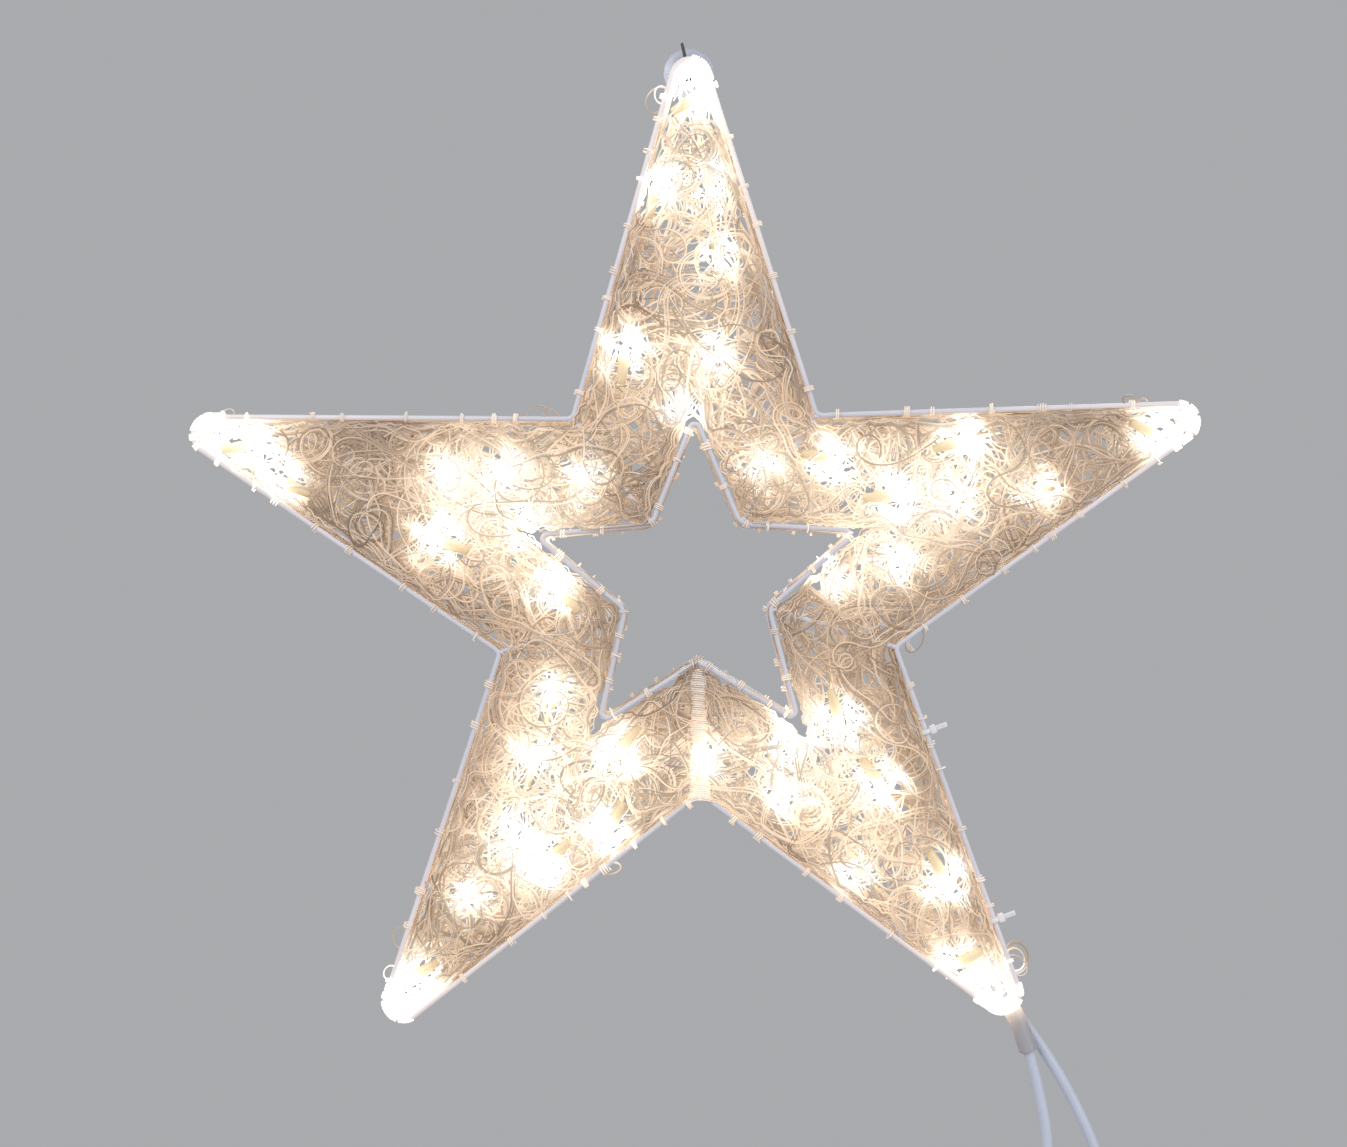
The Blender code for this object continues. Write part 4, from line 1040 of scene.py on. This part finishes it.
def build_lamps():
    top, wide = holder_length, lamp_radius
    holder_profile = [
        (0.0017, 0.0), (lamp_foot_radius, 0.0005), (0.0023, 0.0035), (wide - 0.0003, 0.0075),
        (wide - 0.0002, top - 0.0034), (wide, top - 0.003), (wide, top - 0.0006),
        (wide - 0.0004, top), (lens_radius, top)]
    lens_profile = [(lens_radius * share, top + up) for share, up in (
        (0.96, -0.0002), (0.98, 0.0018), (0.9, 0.0034), (0.68, 0.0046), (0.36, 0.0052),
        (0.125, lens_length))]
    for arm, (route, lamps) in enumerate(lamp_arms):
        number = arm + 1
        holders, lenses = [], []
        for middle, way in lamps:
            foot = middle - way * holder_length / 2
            turn = way.to_track_quat('Z', 'Y').to_euler()
            holders.append(drawn_up(holder_profile, 16, foot, turn))
            lenses.append(drawn_up(lens_profile, 14, foot, turn))
        settle(joined(holders), f"lamp_holders_{number}", holder_plastic, "warm_lamp_plastic",
               f"lamp_chain_{number}", smooth=40, lamps=True)
        settle(joined(lenses), f"lamp_lenses_{number}", lens_light, "warm_lamp_plastic", smooth=60)
        fine = smooth_run(route, 10)
        pair = [[], []]
        travelled = 0
        for index, point in enumerate(fine):
            way = (fine[min(index + 1, len(fine) - 1)] - fine[max(index - 1, 0)]).normalized()
            side = way.cross(Vector((0, 1, 0))).normalized()
            up = way.cross(side)
            travelled += (point - fine[index - 1]).length if index else 0
            for strand, phase in zip(pair, (0, pi)):
                twist = phase + travelled / 0.016 * pi
                strand.append(point + (side * cos(twist) + up * sin(twist)) * 0.00052)
        wires = drawn_wire(pair, 0.0005, sides=6)
        settle(wires, f"lamp_wires_{number}", lamp_wire_plastic, "warm_lamp_plastic",
               smooth=70, lamps=True)


# ---- suction cup and hook

def build_cup():
    profile = in_metres([
        (180, 0), (500, 0), (850, 20), (1120, 40), (1220, 0), (1300, 20), (1300, 80), (1120, 150),
        (936, 230), (740, 330), (550, 460), (400, 520), (300, 560), (290, 700), (300, 830),
        (420, 850), (450, 890), (450, 1030), (400, 1110), (270, 1150), (120, 1140)])
    cup = drawn_up(profile, 64, turn=(radians(90), 0, 0))
    settle(cup, "cup_bell", clear_cup, "clear_soft_plastic", "suction_cup", body="suction_cup",
           smooth=50)


def build_hook():
    line, eye_radius, drop = -0.007, 0.0043, 0.0075
    points = [around(radians(-52 + 288 * step / 32), eye_radius, -line) for step in range(33)]
    tail = [points[-1]]
    for across, down, forward in ((-0.12, 0.74, 0), (0, 0.95, 0.7), (0, 1, 2.5)):
        tail.append((eye_radius * across, line - 0.001 * forward, -drop * down))
    points += [tuple(point) for point in smooth_run(tail, 8)[1:]]
    rise = bend_arc((-line, -drop), (0.0176, -drop), (0.0176, 0), 0.0026, 12)
    points += [(0, -point[0], point[1]) for point in rise]
    points.append((-0.0035, -0.0176, 0.0115))
    hook = drawn_wire([points], 0.001, radii=[[0.75] + [1] * (len(points) - 2) + [0.75]])
    settle(hook, "hook_wire", dark_steel, "dark_steel", "hook", body="hook", smooth=60)


# ---- cable ties

def build_ties():
    side_run = tip_reach - notch_corner.y
    for name, arm, inset, side, depth in (
            ("lower", 2, 0.040, -1, front_line), ("upper", 2, side_run * 0.76, -1, front_line),
            ("notch", 1, side_run - 0.008, 1, back_line)):
        reach = tip_reach - inset
        centre = placed((side * (corner_reach - reach) * tan(side_angle), reach),
                        arm_turn * arm, depth)
        axis, out = [Vector((way.x, 0, way.y)) for way in (
            turned_point((-side * side_sin, side_cos), arm_turn * arm),
            turned_point((side * side_cos, side_sin), arm_turn * arm))]
        turn = Matrix((out, axis.cross(out), axis)).transposed().to_euler()
        ring = primitive('torus', major_segments=36, minor_segments=8, major_radius=0.0021,
                         minor_radius=0.00055, location=centre, rotation=turn)
        ring.scale = (1, 1, 2.1)
        head = centre + out * 0.0036
        things = [
            ring, cube((0.003, 0.0042, 0.0042), head, turn, bevel=0.0005),
            cube((0.007, 0.0009, 0.0024), head + out * 0.0039, turn, bevel=0.0002, segments=2),
            cube((0.0008, 0.0014, 0.0030), head + out * 0.0012, turn, bevel=0.0001)]
        for step in range(6):
            ridge = head + out * (0.0026 + 0.0007 * step) - Vector((0, 0.0005, 0))
            things.append(cube((0.0003, 0.0003, 0.0016), ridge, turn))
        settle(joined(things), f"{name}_tie", white_nylon, "white_nylon",
               f"{name}_cable_tie", lamps=True)


# ---- leads

def lead(name, run, *nodes):
    """A cord in its white sheath."""
    cord = drawn_curve(name, [run], lead_radius, sides=16)
    dress(cord, white_sheath)
    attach(cord, "star")
    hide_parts(*nodes)
    return cord


def connector(name, node, cord_end, inside):
    """Strain relief, ribbed body and collar of a plug or socket that hangs down."""
    body = in_metres([(280, 0), (360, 0), (400, -50)])
    for rib in range(6):
        top = -0.0030 - rib * 0.0028
        wide = 0.0040 + (0.0051 - 0.0040) * rib / 5
        body += [(wide, top + 0.0006), (wide - 0.0007, top), (wide - 0.0007, top - 0.0010),
                 (wide, top - 0.0016)]
    body += in_metres([(540, -2180), (620, -2260), (700, -2460), (720, -2680)])
    for rib in range(5):
        top = -0.0300 - rib * 0.0030
        body += [(0.0072, top), (0.00655, top - 0.0004), (0.00655, top - 0.0012),
                 (0.0072, top - 0.0016)]
    body += in_metres([(720, -5000), (700, -5160), (640, -5200), (600, -5230)])
    body += [(0.0060, mouth + 0.0004), (0.0057, mouth)] + inside
    place = Vector(cord_end) - Vector((0, 0, seat_gap))
    thing = drawn_up(body, 48, place)
    return settle(thing, name, white_moulding, "white_moulding", node, smooth=30), place


def build_strap(centre):
    """The strap round the coil, closed by its flap."""
    away = around(coil_tie_angle)
    place = centre + away * coil_radius - Vector((0, coil_pitch / 2, 0))
    wide = coil_turns / 2 * coil_pitch + 2 * lead_radius + 2 * seat_gap
    deep = coil_pitch + 2 * lead_radius + 2 * seat_gap
    turn = (0, -coil_tie_angle, 0)
    strap = alone(cube((wide + 0.0018, deep + 0.0018, 0.009), place, turn))
    bpy.ops.object.mode_set(mode='EDIT')
    bpy.ops.mesh.select_mode(type='FACE')
    bpy.ops.mesh.select_all(action='DESELECT')
    bpy.ops.object.mode_set(mode='OBJECT')
    for face in strap.data.polygons:
        face.select = abs(face.normal.z) > 0.9
    bpy.ops.object.mode_set(mode='EDIT')
    bpy.ops.mesh.delete(type='FACE')
    bpy.ops.object.mode_set(mode='OBJECT')
    soften(strap, 0.0035, 6)
    altered(strap, 'SOLIDIFY', thickness=0.0009, offset=-1)
    flap = cube((wide * 0.55, 0.0008, 0.0086), place - away * 0.002
                - Vector((0, deep / 2 + 0.0012, 0)), turn, bevel=0.0003)
    return settle(joined([strap, flap]), "strap_loop", grey_strap, "grey_strap",
                  "coil_tie", smooth=40)


def build_sleeve():
    """The sleeve on the supply lead, just under the tip."""
    route = smooth_run(supply_route, 24)
    run, travelled = [], 0
    for before, after in zip(route, route[1:]):
        travelled += (after - before).length
        if 0.0150 <= travelled <= 0.0400:
            run.append(after)
    sleeve = drawn_wire([run], 0.0046, sides=24,
                        radii=[[0.93] + [1] * (len(run) - 2) + [0.93]])
    return settle(sleeve, "sleeve_tube", milky_sleeve, "milky_sleeve", "exit_sleeve",
                  smooth=50, lamps=True)


def build_cords():
    coil, centre = coil_points()
    supply_cord = lead("supply_cord", smooth_run(supply_route, 6)[:-1] + coil[:-1]
                       + smooth_run(tail_route, 6), "supply_lead", "supply_coil", "supply_tail")
    plug, plug_place = connector("plug_body", "supply_plug", tail_route[-1], [
        (0.0049, mouth), (0.0047, mouth + 0.0003), (0.0047, mouth + 0.012),
        (0.0002, mouth + 0.012)])
    pins = [drawn_up([(0.0009, mouth + 0.0125), (0.0009, mouth + 0.0018), (0.0007, mouth + 0.0011),
                      (0.0003, mouth + 0.0009)], 16, plug_place + Vector((side * 0.0023, 0, 0)))
            for side in (-1, 1)]
    settle(joined(pins), "plug_pins", pin_metal, "white_moulding", smooth=40)
    strap = build_strap(centre)
    sleeve = build_sleeve()
    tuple(supply_route[0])

    link_cord = lead("link_cord", smooth_run(link_route, 6), "link_lead")
    socket, socket_place = connector("socket_body", "link_socket", link_route[-1],
                                     [(0.0002, mouth)])
    cap = drawn_up(in_metres([
        (400, -160), (700, -160), (780, -110), (820, -60), (820, 300), (780, 360), (760, 380),
        (760, 830), (730, 870), (650, 870), (630, 840), (630, -30), (20, -30)]), 48,
        socket_place + Vector((0, 0, mouth)))
    settle(cap, "socket_cap", white_moulding, "white_moulding", "link_cap", body="cap", smooth=30)
    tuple(link_route[0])

    out = Vector((sin(lead_arm_turn), 0, cos(lead_arm_turn)))
    joint = cube((0.0095, 0.0150, 0.024), Vector((0.14588, -0.034, -0.46672)) - out * 0.012,
                 (0, lead_arm_turn, 0), bevel=0.0016, segments=5)
    settle(joint, "moulded_joint", white_moulding, "white_moulding", "lead_joint",
           smooth=40, lamps=True)


set_stage()
build_cords()
build_wires()
build_lamps()
build_cup()
build_hook()
build_ties()
spin_threads()
